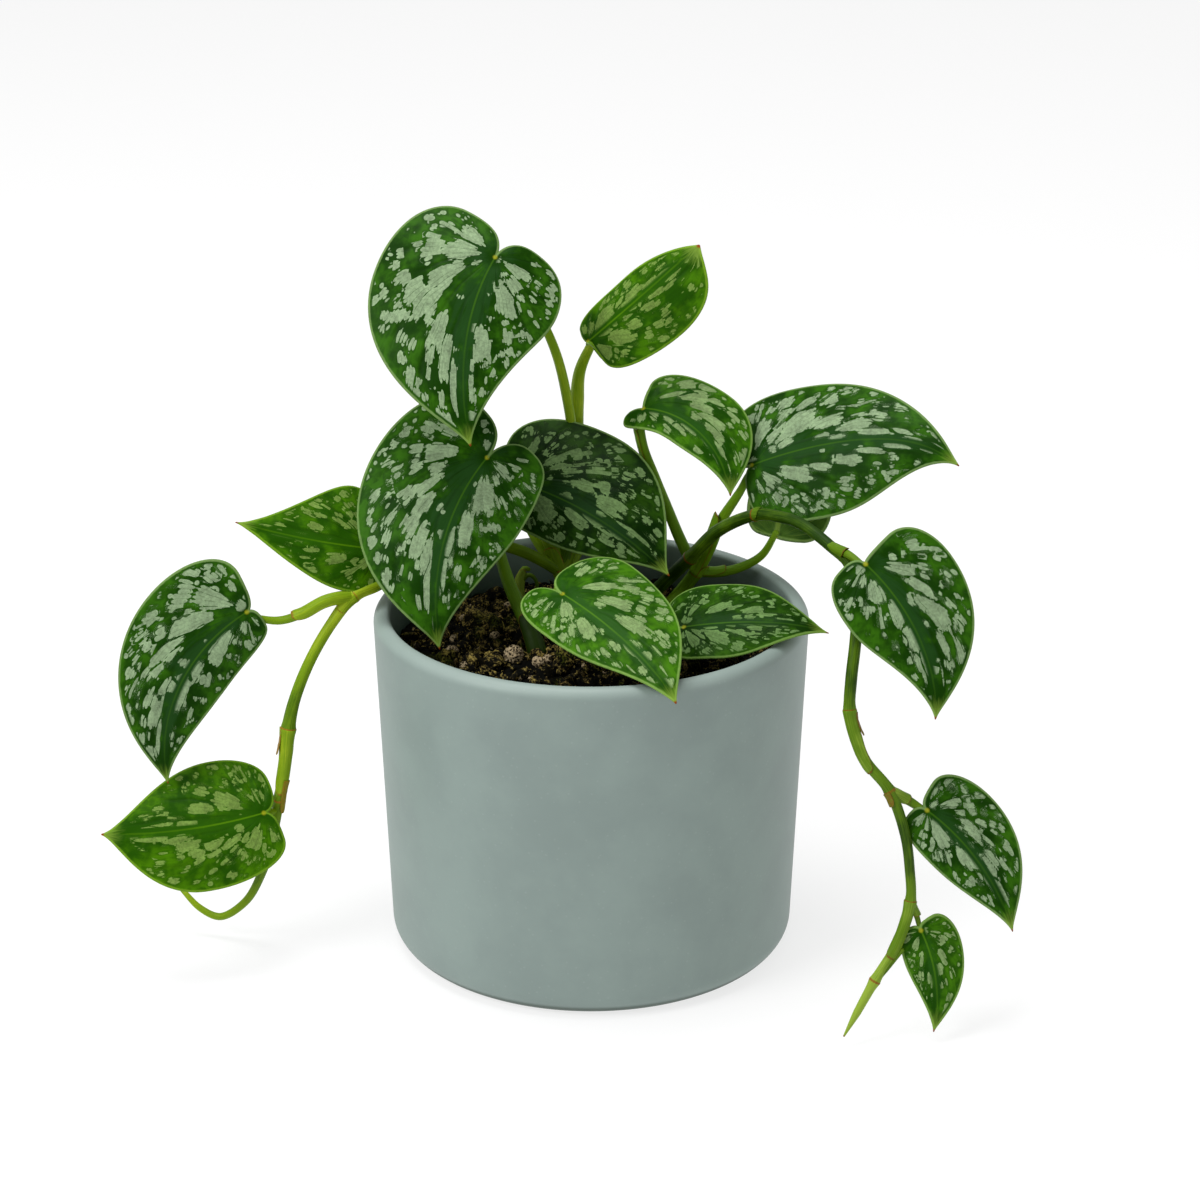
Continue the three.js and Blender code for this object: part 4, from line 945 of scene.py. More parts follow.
# Each stem lists its stalks. A point is x, y, z and radius, and where a fifth number follows, it is the tone,
# from 0, dark, to 1, pale. `joints` are the numbers of the points that carry a swollen node, `planted` stalks
# go down into the soil, and `to` names the blade at the end.
stems = {
    "vine_right": [
        {"points": [
            (16, 34, 90, 2, 0.1), (21, 30.5, 97, 2, 0.1), (29, 22, 108.7, 2, 0.2),
            (36.5, 13, 120.3, 1.9, 0.2), (46.7, 0, 130, 1.7, 0.1), (52, -8, 132.5, 1.7, 0.1),
            (58, -18, 134, 1.6, 0), (66, -30, 131.5, 1.6, 0.1), (71, -38, 128.5, 1.6, 0.2),
            (72.5, -44, 120, 1.6, 0.15), (72, -48, 111, 1.65, 0.2), (70.8, -52, 101, 1.65, 0.2),
            (70.5, -54, 93, 1.6, 0.5), (72.3, -56, 85.5, 1.6, 0.6), (75, -58, 79.5, 1.5, 0.5),
            (81.6, -60, 71.5, 1.5, 0.35), (86, -62, 59.5, 1.45, 0.15), (87.6, -63, 49, 1.4, 0.2),
            (88, -64, 40, 1.4, 0.6), (84.5, -67, 28.6, 1.3, 0.8), (78.3, -70, 18.4, 1.4, 0.9),
            (73.5, -72, 9.5, 1.1, 1.1), (70, -73.5, 3, 0.25, 1.1),
        ], "joints": [2, 4, 8, 12, 15, 18, 20], "planted": True, "darkEnd": True},
        {"points": [(66, -30, 131.5, 1.3), (70.5, -38, 132, 1.1)], "to": "leaf_vine_right_1"},
        {"points": [(81.6, -60, 71.5, 1.5), (87.2, -57.6, 67.4, 1.3)], "to": "leaf_vine_right_2"},
        {"points": [(88, -64, 40, 1.1), (90, -63.6, 35, 0.8)], "to": "leaf_vine_right_3"},
        {"points": [(78.3, -70, 18.4, 1.1), (81.5, -69, 22, 1), (86, -67.5, 27, 0.7)]},
    ],
    "stem_right": [
        {"points": [
            (22.5, 28.5, 90, 2), (27, 30, 95.5, 2), (31, 28, 102, 2), (34.5, 26, 110, 1.9),
            (38, 23, 120, 1.6), (43.4, 21.5, 129.8, 1.2), (45.6, 21.6, 134.4, 1),
        ], "joints": [2], "planted": True, "to": "leaf_wide_right"},
        {"points": [
            (31, 28, 102, 1.7), (26.2, 31, 111, 1.7), (22.5, 32, 120, 1.6), (18.6, 32, 130, 1.5),
            (15, 32.5, 140, 1.4), (14.4, 32, 148, 1.2),
        ], "to": "leaf_folded"},
        {"points": [
            (31, 28, 102, 1.6), (37, 28, 101.8, 1.5), (43.5, 28, 103.2, 1.4), (50, 27, 107.4, 1.2),
        ], "to": "leaf_back_right"},
        {"points": [
            (22.5, 28.5, 90, 1.5), (20, 14, 93, 1.4), (19.5, -2, 98, 1.3), (20.5, -12, 101.5, 1.1),
        ], "to": "leaf_rim_right"},
    ],
    "vine_left": [
        {"points": [
            (-4, 16, 90, 2.1), (-6, 24, 95, 2.1), (-8.5, 27, 100, 2.2), (-9, 28, 102, 2.3),
        ], "joints": [3], "planted": True},
        {"points": [
            (-9, 28, 102, 1.9, 0.25), (-15, 26, 106.5, 1.8, 0.35), (-22.5, 22, 111.5, 1.7, 0.4),
            (-35, 18, 115.5, 1.7, 0.5), (-46.8, 13, 116, 1.8, 0.8), (-56.3, 6, 111.5, 1.8, 0.7),
            (-61, 1, 108.5, 1.8, 0.7), (-68, -3, 106.4, 1.9, 0.9), (-74.5, -7, 99, 1.6, 0.75),
            (-80.5, -10, 89, 1.6, 0.5), (-85, -12, 78, 1.7, 0.15), (-87, -13, 69.5, 2, 0.2),
            (-88.3, -14, 58.5, 1.6, 0.5), (-90.3, -15, 48, 1.6, 0.35), (-93, -14, 34.5, 1.4, 0.2),
            (-96.5, -12, 23, 1.3, 0.2), (-102, -10, 12.5, 1.2, 0.4), (-110, -8, 6.5, 1.1, 0.6),
            (-116, -6, 8.3, 1, 0.7), (-120.5, -4, 12.3, 0.8, 0.7), (-124, 0, 14.6, 0.5, 0.3),
        ], "joints": [4, 7, 11, 13]},
        {"points": [
            (-9, 28, 102, 1.9, 0.2), (-4, 36, 121.5, 1.6, 0.4), (-5, 37, 137, 1.5, 0.6),
            (-7, 36, 152.5, 1.5, 0.6), (-10, 33, 167, 1.4, 0.6), (-14.5, 30, 179, 1.3, 0.5),
            (-21, 26, 191.5, 1.1, 0.4),
        ], "to": "leaf_crown_top"},
        {"points": [
            (-9, 28, 102, 2.1, 0.2), (-2.8, 38, 121, 2.1, 0.5), (-4.3, 40, 139, 2.1, 0.7),
            (-4.2, 40, 151.5, 2.1, 0.7), (-3.3, 38, 161, 1.7, 0.6),
        ], "to": "leaf_crown_young"},
        {"points": [
            (-9, 28, 102, 2.2, 0.3), (-13, 31, 112, 2.2, 0.5), (-19, 33, 125, 1.4, 0.5),
        ], "to": "leaf_crown_shaded"},
        {"points": [
            (-6, 24, 95, 1.8, 0.1), (-8, 10, 104, 1.6, 0.1), (-9, -10, 112, 1.4, 0.2),
            (-9, -22, 114.5, 1.3, 0.3),
        ], "to": "leaf_front"},
        {"points": [(-46.8, 13, 116, 1.6), (-54.6, 9.8, 116.8, 1.3)], "to": "leaf_vine_left_1"},
        {"points": [
            (-68, -3, 106.4, 1.8), (-75.5, -7, 106.5, 1.5), (-82.5, -8.4, 103, 1.3), (-89, -8.4, 101, 1.2),
        ], "to": "leaf_vine_left_2"},
        {"points": [(-90.3, -15, 48, 1.3), (-91, -15, 45, 1)], "to": "leaf_vine_left_3"},
        {"points": [
            (-8.5, 27, 100, 1.7), (-18, 36, 112, 1.4), (-23, 42, 122, 1.2),
        ], "to": "leaf_back_left"},
        {"points": [(-8.5, 27, 100, 1.7), (-2, 40, 108, 1.4), (2, 47, 116, 1.2)], "to": "leaf_back_middle"},
    ],
    "petiole_front": [
        {"points": [
            (-15.5, -6.5, 90, 2.7, 0), (-17.5, -4, 96, 2.3, 0.25), (-21, 0, 102.5, 2.1, 0.5),
            (-24, 4, 108.5, 1.9, 0.55), (-27, 9, 117.5, 1.6, 0.6), (-29, 11.5, 129, 1.4, 0.6),
            (-30, 10.5, 138, 1.2, 0.6),
        ], "planted": True, "to": "leaf_crown_left"},
    ],
    "shoot": [
        {"points": [
            (-21.8, 28, 91, 1.3), (-21.6, 28, 94.5, 1.4), (-21.4, 28, 98, 1.4), (-20.8, 28, 101, 1.2),
            (-19.6, 28, 103, 0.9), (-18.2, 28, 102.6, 0.5),
        ], "planted": True},
        {"points": [
            (-20.4, 27.6, 99.6, 0.7, 0.4), (-18.4, 27, 101.4, 0.65, 0.3), (-16.8, 26.8, 100.4, 0.6, 0.1),
            (-16, 26.8, 97.4, 0.55, 0), (-16.2, 27, 94, 0.5, 0),
        ]},
    ],
}


def smoothPath(points, samples=60):
    # a centripetal Catmull-Rom line: between each pair of points the cubic c0 + c1 t + c2 t^2 + c3 t^3
    p = np.array(points, float)
    p = np.vstack([2 * p[0] - p[1], p, 2 * p[-1] - p[-2]])
    gap = np.sqrt(np.linalg.norm(np.diff(p, axis=0), axis=1))[:, None]
    p0, p1, p2, p3 = p[:-3], p[1:-2], p[2:-1], p[3:]
    g0, g1, g2 = gap[:-2], gap[1:-1], gap[2:]
    t1 = ((p1 - p0) / g0 - (p2 - p0) / (g0 + g1) + (p2 - p1) / g1) * g1
    t2 = ((p2 - p1) / g1 - (p3 - p1) / (g1 + g2) + (p3 - p2) / g2) * g1
    t = np.arange(samples)[None, :, None] / samples
    c2, c3 = -3 * p1 + 3 * p2 - 2 * t1 - t2, 2 * p1 - 2 * p2 + t1 + t2
    c0, c1, c2, c3 = (c[:, None] for c in (p1, t1, c2, c3))
    line = (c0 + c1 * t + c2 * t ** 2 + c3 * t ** 3).reshape(-1, 3)
    return np.vstack([line, p[-2]]), np.arange(len(line) + 1) / samples


def stalkLine(stalk):
    # even steps along the stalk: centres, radii, distance from the start, directions, and its points' places
    shape = stemShape
    table = np.array(stalk["points"], float)
    points, radii = list(table[:, :3]), list(table[:, 3])
    extra = 0
    if stalk.get("planted"):
        extra = 2
        points = [points[0] - (0, 0, shape["planted"]), points[0] - (0, 0, shape["upright"]), *points]
        radii = [radii[0], radii[0], *radii]
    if "to" in stalk:
        past, below, share = shape["underBlade"]
        at, (_, along, up) = bladeAxes(leaves[stalk["to"]])
        points.append(at + past * along - (below + share * radii[-1]) * up)
        radii.append(shape["endTaper"] * radii[-1])
    line, number = smoothPath(points)
    travelled = distances(line)
    steps = max(8, round(travelled[-1] / shape["step"]))
    s = np.linspace(0, travelled[-1], steps + 1)
    centres = alongLine(s, travelled, line)
    radius = np.interp(np.interp(s, travelled, number), np.arange(len(radii)), radii)
    places = np.interp(np.arange(len(points) - extra) + extra, number, travelled)
    tangents = unit(np.gradient(centres, axis=0))
    return centres, radius, s, tangents, places


def carriedSides(tangents, start=(0.0, 1.0, 0.0)):
    # a side direction carried along the path, each made square to the next tangent
    side, sides = np.array(start), []
    for tangent in tangents:
        side = side - tangent * (side @ tangent)
        side = side / np.linalg.norm(side)
        sides.append(side)
    return np.array(sides)


def stalkPart(stalk, number):
    # rings of radius (r + swellings) (1 + ribHeight cos 5a)
    shape = stemShape
    centres, radius, s, tangents, places = stalkLine(stalk)
    sides = carriedSides(tangents)
    others = np.cross(tangents, sides)
    swell, mark, pale = 0 * s, 0 * s, 0 * s
    for place in places[stalk.get("joints", [])]:
        ring = bump(s, place, shape["ringWidth"])
        swell = swell + shape["swelling"] * bump(s, place, shape["swellingWidth"]) + shape["ring"] * ring
        mark = np.maximum(mark, ring)
        pale = np.maximum(pale, ease(place + shape["palePart"] - s, 0, 5) * (s > place))
    if stalk.get("darkEnd"):
        mark = np.maximum(mark, bump(s, s[-1], 0.5))
    tones = np.array([point[4] if len(point) > 4 else shape["tone"] for point in stalk["points"]])
    tone = np.interp(s, places[:len(tones)], tones)
    count = shape["sides"]
    a = 2 * pi * np.arange(count) / count
    width = (radius + swell)[:, None] * (1 + shape["ribHeight"] * np.cos(shape["ribs"] * a))[None]
    rings = centres[:, None] + width[..., None] * (
        sides[:, None] * np.cos(a)[None, :, None] + others[:, None] * np.sin(a)[None, :, None]
    )
    ends = [centres[0] - 0.3 * radius[0] * tangents[0], centres[-1] + 0.5 * radius[-1] * tangents[-1]]
    points = np.vstack([rings.reshape(-1, 3), *ends])

    def spread(values):
        return np.concatenate([np.repeat(values, count), [values[0], values[-1]]])

    angle = np.concatenate([np.tile(a, len(s)), [0, 0]])
    toEnd = spread(s[-1] - s) if "to" in stalk else shape["farAway"] + 0 * angle
    attributes = {
        "stemMap": np.column_stack([spread(s) + 60 * number, np.cos(angle), np.sin(angle)]),
        "marks": np.column_stack([spread(mark), spread(pale), toEnd]),
        "shells": np.column_stack([spread(tone), 0 * angle, 0 * angle]),
    }
    return points, tubeFaces(len(s), count), attributes


# Old leaf sheaths: shells that leave the stalk with that number at its point `at`, face `side` and run to a
# point. `spread` is half the angle that they wrap, `lift` how far the point stands off, and `dry` and `rim`
# how brown the shell and its edge are. The last three may be left out.
sheathValues = ("stalk", "at", "length", "side", "spread", "lift", "tone", "dry", "rim")
sheathShape = {
    "tone": 0.7, "dry": 0, "rim": 1,
    "gap": 0.14, "flare": 0.12, "ragged": 0.05, "thickness": 0.18,
}
sheaths = {
    "vine_right": [
        (0, 4.08, 2.4, (-0.3, -0.5, 0.8), 80, 0, 0.4, 0, 0), (1, 0, 8, (-0.2, -0.7, 0.7), 130, 0.2, 0.5),
        (0, 8, 6, (-1, 0.1, -0.5), 36, 0.4, 0.7, 0.7), (0, 12, 18, (-0.7, -0.7, 0), 110, 0, 0.6),
        (0, 12.1, 7, (1, -0.3, 0), 22, 0.6, 0.7, 1), (2, 0, 7, (0.1, -0.7, 0.7), 110, 0.1, 0.7),
        (0, 15, 4, (-0.7, -0.7, 0), 40, 0.3, 0.7, 0.7), (0, 18, 17, (-0.2, -1, 0), 120, 0, 0.6),
        (3, 0, 5, (0.7, -0.7, 0), 100, 0.2),
    ],
    "stem_right": [
        (0, 2, 22, (-0.9, -0.4, 0.2), 70, 1.2, 0.6), (0, 2, 4, (0.8, -0.6, 0), 50, 0.3, 0.7, 0.35),
        (2, 0, 9, (0, -0.4, 1), 80, 0.2, 0.5), (1, 3.6, 11, (-1, -0.2, 0), 60, 0.8, 0.6),
    ],
    "vine_left": [
        (1, 4, 12, (0.3, -0.8, -0.5), 90, 0.1, 0.6), (7, 0, 19, (0, -0.6, 0.8), 130, 0.4),
        (1, 7, 6, (0.2, -0.9, 0.4), 60, 0.1, 0.7, 0.4), (1, 11, 20, (0.5, -0.9, 0), 130, 0, 0.6),
        (1, 11, 8, (-1, -0.3, 0), 22, 0.9, 0.7, 1), (1, 12.4, 10, (0.8, -0.6, 0), 34, 0.4, 0.7, 0.7),
        (2, 0, 9, (-0.3, -1, 0), 70, 0.3, 0.2), (3, 0, 11, (0.6, -0.8, 0), 70, 0.4, 0.3),
        (4, 0, 8, (-0.5, -0.8, 0.3), 70, 0.4, 0.6), (5, 0, 9, (0.4, -0.5, 0.8), 80, 0.3, 0.2),
    ],
    "petiole_front": [
        (0, 0, 12, (0.5, -0.9, 0), 100, 0.1, 0),
    ],
    "shoot": [
        (0, 1, 9, (0.6, -0.8, 0), 110, 0.3, 0.7),
    ],
}


def sheathPart(stalk, sheath, number):
    # at (u, v) the angle is spread v (1 - u^3)^(1/3), and the radius r + gap + lift u^2 + flare v^4
    centres, radius, s, tangents, places = stalkLine(stalk)
    start = np.interp(sheath["at"], np.arange(len(places)), places)
    u = np.linspace(0, 0.995, 30)[:, None]
    v = np.linspace(-1, 1, 21)[None, :]
    place = start + u[:, 0] * min(sheath["length"], s[-1] - start)
    centre = alongLine(place, s, centres)
    tangent = unit(alongLine(place, s, tangents))
    side = np.array(sheath["side"], float)
    side = unit(side - tangent * (tangent @ side)[:, None])
    other = np.cross(tangent, side)
    swell = stemShape["swelling"] * bump(place, start, stemShape["swellingWidth"]) * (sheath["at"] != 0)
    a = radians(sheath["spread"]) * v * np.cbrt(1 - u ** 3)
    crinkled = softNoise(np.stack([6 * v + 0 * u, 9 * u + 0 * v, number + 0 * a], -1), 1.0, 3)
    out = (np.interp(place, s, radius) + swell)[:, None] + sheath["gap"] + sheath["lift"] * u ** 2
    out = (out + sheath["flare"] * v ** 4 + sheath["ragged"] * crinkled)[..., None]
    around = side[:, None] * np.cos(a)[..., None] + other[:, None] * np.sin(a)[..., None]
    points = centre[:, None] + out * around
    half = np.full(a.shape, sheath["thickness"] / 2)
    points, faces, source, _, _ = closedSheet(points, sheetNormals(points), half, half, 1)
    edge = np.maximum(np.abs(v) ** 18, u ** 16) * sheath["rim"]
    attributes = pickedValues({
        "stemMap": (place[:, None] + 60 * number + 0 * a, np.cos(a), np.sin(a)),
        "marks": (0 * a, 0 * a, stemShape["farAway"] + 0 * a),
        "shells": (sheath["tone"] + 0 * a, np.maximum(edge, sheath["dry"]), 1 + 0 * a),
    }, source)
    return points, faces, attributes


stemLooks = {
    "vine_right": {
        "deep": rgb(30, 58, 2), "green": rgb(84, 116, 14),
        "young": rgb(134, 160, 52), "ring": rgb(130, 74, 22),
    },
    "stem_right": {
        "deep": rgb(52, 90, 4), "green": rgb(98, 138, 14),
        "young": rgb(126, 160, 36), "ring": rgb(140, 80, 20),
    },
    "vine_left": {
        "deep": rgb(62, 96, 2), "green": rgb(110, 142, 10),
        "young": rgb(158, 178, 34), "ring": rgb(164, 100, 30),
    },
    "petiole_front": {
        "deep": rgb(30, 48, 6), "green": rgb(82, 118, 8),
        "young": rgb(112, 144, 18), "ring": rgb(120, 84, 24),
    },
    "shoot": {
        "deep": rgb(70, 100, 14), "green": rgb(108, 138, 30),
        "young": rgb(156, 178, 70), "ring": rgb(150, 104, 44),
    },
}


def stemFinish(name, look):
    # streaked along the stem, browner at its rings and on the dry edges of sheaths, paler next to a blade
    f = Finish("stem " + name, Roughness=0.4, Specular_IOR_Level=0.12)
    s, x, y = f.parts(f.attribute("stemMap"))
    ring, pale, toEnd = f.parts(f.attribute("marks"))
    tone, edge, shell = f.parts(f.attribute("shells"))
    fibre = f.noise(f.vector(s * 0.04, x * 3.0, y * 3.0), 2.4, 3.0)
    blotch = f.noise(f.vector(s * 0.2, x * 0.8, y * 0.8), 0.6, 3.0)
    tone = tone + (fibre - 0.5) * 0.7 + (blotch - 0.5) * 0.7 + pale * 0.1
    colour = f.mix(f.step(tone, 0.0, 0.5), look["deep"], look["green"])
    colour = f.mix(f.step(tone, 0.5, 1.0), colour, look["young"])
    fleck = f.noise(f.vector(s, x * 3.0, y * 3.0), 1.4, 3.0)
    ringed = f.step(ring + (fleck - 0.5) * 0.7, 0.35, 0.7)
    colour = f.mix(ringed * 0.85, colour, look["ring"])
    brown = f.step(edge + (fleck - 0.5) * 0.6, 0.45, 0.8)
    colour = f.mix(brown * 0.75, colour, f.tint(look["ring"], 0.2 + fleck * 0.9))
    colour = f.mix(f.fade(toEnd, 1.0, 5.0) * 0.5, colour, look["young"])
    f.paint(Base_Color=colour, Roughness=0.38 + fibre * 0.14)
    f.raised(fibre * 0.7 + blotch * 0.2 + shell * 0.1, 0.35, 0.25 * mm)
    return f


for number, (name, stalks) in enumerate(stems.items()):
    parts = [stalkPart(stalk, 10 * number + n) for n, stalk in enumerate(stalks)]
    for n, row in enumerate(sheaths[name]):
        sheath = {**sheathShape, **dict(zip(sheathValues, row))}
        parts.append(sheathPart(stalks[sheath["stalk"]], sheath, 10 * number + 5 + n))
    points, faces, attributes = joined(parts)
    finish = stemFinish(name, stemLooks[name])
    addPiece(name + "_tubes", points, faces, attributes, [finish.material], "stem", [name])
print("stems:", len(stems))


# pot

potShape = {
    "rimRadius": 62.5, "baseRadius": 59, "height": 102, "wall": 4.8, "floor": 9, "heel": 4,
    "footRound": 7, "lipOuterRound": 3, "lipInnerRound": 1.6, "sides": 200, "wallRows": 40,
    "draft": 2,  # degrees that the wall leans out
}
# Colours of the glaze, and where its marks begin and end, in metres up the pot or out from its axis. The
# shade colour is painted shade on the inner wall, and the paler rim colour a painted highlight.
potLook = {
    "dark": rgb(125, 140, 135), "light": rgb(133, 149, 143), "fine": rgb(120, 136, 134),
    "speck": rgb(168, 180, 176), "bareClay": rgb(196, 186, 170), "shade": rgb(50, 70, 58),
    "lipHighlight": rgb(156, 170, 162),
    "bareBelow": (0.0003, 0.0008), "insideUpTo": (0.0574, 0.0584), "lowInnerShadeUpTo": (0.088, 0.099),
    "lipHighlightFrom": (0.0985, 0.1012), "lipHighlightOutFrom": (0.0565, 0.058),
}


def potProfile(shape):
    # up the outside in arcs and a straight wall, over the lip and down the inside, as (radius, height)
    rim, base, height = shape["rimRadius"], shape["baseRadius"], shape["height"]
    foot, outer, inner = shape["footRound"], shape["lipOuterRound"], shape["lipInnerRound"]
    innerRim, innerBase = rim - shape["wall"], base - shape["wall"]
    footArc = arcPoints(base - foot, foot, foot, -90, -shape["draft"], 12)
    lipArc = arcPoints(rim - outer, height - outer, outer, -shape["draft"], 90, 10)
    mouthArc = arcPoints(innerRim + inner, height - inner, inner, 90, 180, 8)
    rows = np.linspace(0, 1, shape["wallRows"] + 2)[1:-1, None]
    outside = footArc[-1] + (lipArc[0] - footArc[-1]) * rows
    heelTop = np.array([innerBase, shape["floor"] + shape["heel"]])
    inside = mouthArc[-1] + (heelTop - mouthArc[-1]) * rows
    underside = np.column_stack([np.linspace(4, base - foot - 3, 10), np.zeros(10)])
    floorLine = np.array([[innerBase - shape["heel"], shape["floor"]], [6, shape["floor"]]])
    return np.vstack([underside, footArc, outside, lipArc, mouthArc, inside, heelTop, floorLine])


def turned(profile, sides):
    # each (r, z) of the profile goes round as (r cos a, r sin a, z)
    a = 2 * pi * np.arange(sides) / sides
    x, y = profile[:, :1] * np.cos(a), profile[:, :1] * np.sin(a)
    return np.stack([x, y, profile[:, 1:] + 0 * a], -1)


def potFinish():
    # a softly clouded matt glaze with fine specks, bare clay at the foot, painted shade on the inner wall
    # that deepens towards the soil, and a painted highlight along the top of the rim
    look = potLook
    f = Finish("pot glaze", Roughness=0.5, Specular_IOR_Level=0.45)
    where = f.place()
    x, y, z = f.parts(where)
    cloud = f.noise(where, 38.0, 4.0, 0.6)
    fine = f.noise(where, 900.0, 2.0)
    speck = f.step(0.16 - f.cells(where, 420.0), 0.0, 0.05)
    colour = f.mix(f.step(cloud, 0.3, 0.7), look["dark"], look["light"])
    colour = f.mix(fine * 0.12, colour, look["fine"])
    colour = f.mix(speck * 0.1, colour, look["speck"])
    bare = f.fade(z + (cloud - 0.5) * 0.0006, *look["bareBelow"])
    colour = f.mix(bare, colour, f.tint(look["bareClay"], 0.9 + fine * 0.2))
    outward = f.maths("SQRT", x * x + y * y)
    inside = f.fade(outward, *look["insideUpTo"])
    lowInnerShade = inside * f.fade(z + (cloud - 0.5) * 0.006, *look["lowInnerShadeUpTo"])
    # painted shade: the whole inner wall is darkened, more so low down towards the soil
    colour = f.mix(inside * 0.55 + lowInnerShade * 0.3, colour, look["shade"])
    # painted highlight: the top of the pot's rim is made paler
    lipHighlight = f.step(z, *look["lipHighlightFrom"]) * f.step(outward, *look["lipHighlightOutFrom"])
    colour = f.mix(lipHighlight * 0.25, colour, look["lipHighlight"])
    f.paint(Base_Color=colour, Roughness=0.46 + cloud * 0.1 + bare * 0.3)
    f.raised(cloud * 0.5 + fine * 0.5, 0.12, 0.12 * mm)
    return f


profile = potProfile(potShape)
rings = turned(profile, potShape["sides"])
poles = np.array([[0, 0, 0], [0, 0, potShape["floor"]]], float)
addPiece(
    "glazed_pot", np.vstack([rings.reshape(-1, 3), poles]), tubeFaces(len(profile), potShape["sides"]), {},
    [potFinish().material], "pot", ["pot"],
)
print("pot: rim", 2 * potShape["rimRadius"], "mm")


# potting mix

soilShape = {
    "level": 88, "mound": 3, "clearance": 0.4, "rings": 90, "sides": 300, "seed": 7,
    "lumps": (1.5, 0.9, 0.45), "lumpSizes": (7, 3, 1.3), "margin": 1.5,  # grains keep off the wall
}
# perlite in front, as x, y and radius
perliteBalls = np.array([
    (-22, -14, 2.8), (-30, -6, 1.6), (-40, -5, 1.8), (-28, 5, 1.5), (-32, -6, 1.0), (-15, -15, 1.9),
    (-12.5, -12, 1.8), (-8, -29, 1.5), (-38, 20, 1.3), (-28, 17, 1.0), (-25, 30, 1.5), (-40, 7, 1.3),
    (-36, -19, 1.2), (-17, -24, 0.8), (-20, -24, 0.8), (-2, -19, 0.8), (4, -25, 0.8), (-51, 3, 1.0),
])
# Loose grains: how many, their radii, how long, wide and high they are, how rough, how often their faces are
# split, and what part of one lies below the surface. A look is its name, dark, light, grain to a metre, moss.
soilLook = ("mix", rgb(2, 2, 0), rgb(36, 30, 8), 300.0, 0.4)
grains = {
    "soil_crumbs": {
        "lots": [
            (2400, (0.4, 1.4), (1.1, 0.9, 0.8), 0.3, 0, 0.2),
            (210, (1.5, 3.6), (1.15, 0.95, 0.7), 0.22, 1, 0.35),
        ],
        "look": ("crumbs", rgb(2, 2, 0), rgb(146, 128, 68), 420.0, 0.5),
    },
    "bark_chips": {
        "lots": [(150, (1.2, 3.0), (1.5, 0.7, 0.35), 0.25, 0, 0.1)],
        "look": ("bark", rgb(12, 10, 2), rgb(146, 124, 70), 420.0),
    },
    "pale_grit": {
        "lots": [(260, (0.2, 0.5), (1.2, 0.9, 0.7), 0.3, 0, 0.0)],
        "look": ("grit", rgb(70, 56, 26), rgb(214, 190, 136), 900.0),
    },
    "perlite": {
        "lots": [
            (len(perliteBalls), perliteBalls[:, 2], (1, 1, 0.85), 0.14, 3, 0.0, perliteBalls[:, :2]),
            (26, (0.7, 1.6), (1, 1, 0.9), 0.12, 2, 0.1),
        ],
    },
}


def soilRadius(z):
    # the pot's inner wall at that height, less the clearance
    shape = potShape
    top, bottom = shape["height"] - shape["lipInnerRound"], shape["floor"] + shape["heel"]
    share = (z - bottom) / (top - bottom)
    wall = shape["baseRadius"] + (shape["rimRadius"] - shape["baseRadius"]) * share - shape["wall"]
    return wall - soilShape["clearance"]


def soilHeight(x, y):
    # level + mound (1 - r^2 / R^2) + three sizes of lumps
    out = np.hypot(x, y) / soilRadius(soilShape["level"])
    flat = np.stack([x, y, 0 * x], -1)
    lumps = sum(
        height * softNoise(flat, size, 11 + n)
        for n, (height, size) in enumerate(zip(soilShape["lumps"], soilShape["lumpSizes"]))
    )
    return soilShape["level"] + soilShape["mound"] * (1 - out ** 2) + lumps


def soilBody():
    # rings from the middle of the underside, up the wall and in over the surface
    shape = soilShape
    low = potShape["floor"] + shape["clearance"]
    edge = potShape["heel"] + 1
    wallZ = np.linspace(low + edge, shape["level"] - 3, 8)
    radii = np.concatenate([[6, soilRadius(low) - edge], soilRadius(wallZ)])
    heights = np.concatenate([[low, low], wallZ])
    body = turned(np.column_stack([radii, heights]), shape["sides"])
    r = soilRadius(shape["level"]) * np.linspace(1, 0.01, shape["rings"])
    a = 2 * pi * np.arange(shape["sides"]) / shape["sides"]
    x, y = r[:, None] * np.cos(a), r[:, None] * np.sin(a)
    top = np.stack([x, y, soilHeight(x, y)], -1)
    rings = np.concatenate([body, top])
    poles = np.array([[0, 0, low], [0, 0, soilHeight(np.zeros(1), np.zeros(1))[0]]])
    return np.vstack([rings.reshape(-1, 3), poles]), tubeFaces(len(rings), shape["sides"])


def roundSolid(detail):
    # the corners and triangles of an icosahedron, each triangle split in four `detail` times
    g = (1 + 5 ** 0.5) / 2
    corners = unit(np.array([
        (-1, g, 0), (1, g, 0), (-1, -g, 0), (1, -g, 0), (0, -1, g), (0, 1, g),
        (0, -1, -g), (0, 1, -g), (g, 0, -1), (g, 0, 1), (-g, 0, -1), (-g, 0, 1),
    ], float))
    faces = np.array([
        (0, 11, 5), (0, 5, 1), (0, 1, 7), (0, 7, 10), (0, 10, 11), (1, 5, 9), (5, 11, 4), (11, 10, 2),
        (10, 7, 6), (7, 1, 8), (3, 9, 4), (3, 4, 2), (3, 2, 6), (3, 6, 8), (3, 8, 9), (4, 9, 5), (2, 4, 11),
        (6, 2, 10), (8, 6, 7), (9, 8, 1),
    ])
    for _ in range(detail):
        a, b, c = faces.T
        edges = np.sort(np.vstack([np.column_stack(p) for p in ((a, b), (b, c), (c, a))]), axis=1)
        pairs, inverse = np.unique(edges, axis=0, return_inverse=True)
        ab, bc, ca = (len(corners) + inverse.ravel()).reshape(3, -1)
        corners = np.vstack([corners, unit(corners[pairs].mean(axis=1))])
        faces = np.vstack([np.column_stack(t) for t in ((a, ab, ca), (b, bc, ab), (c, ca, bc), (ab, bc, ca))])
    return corners, faces


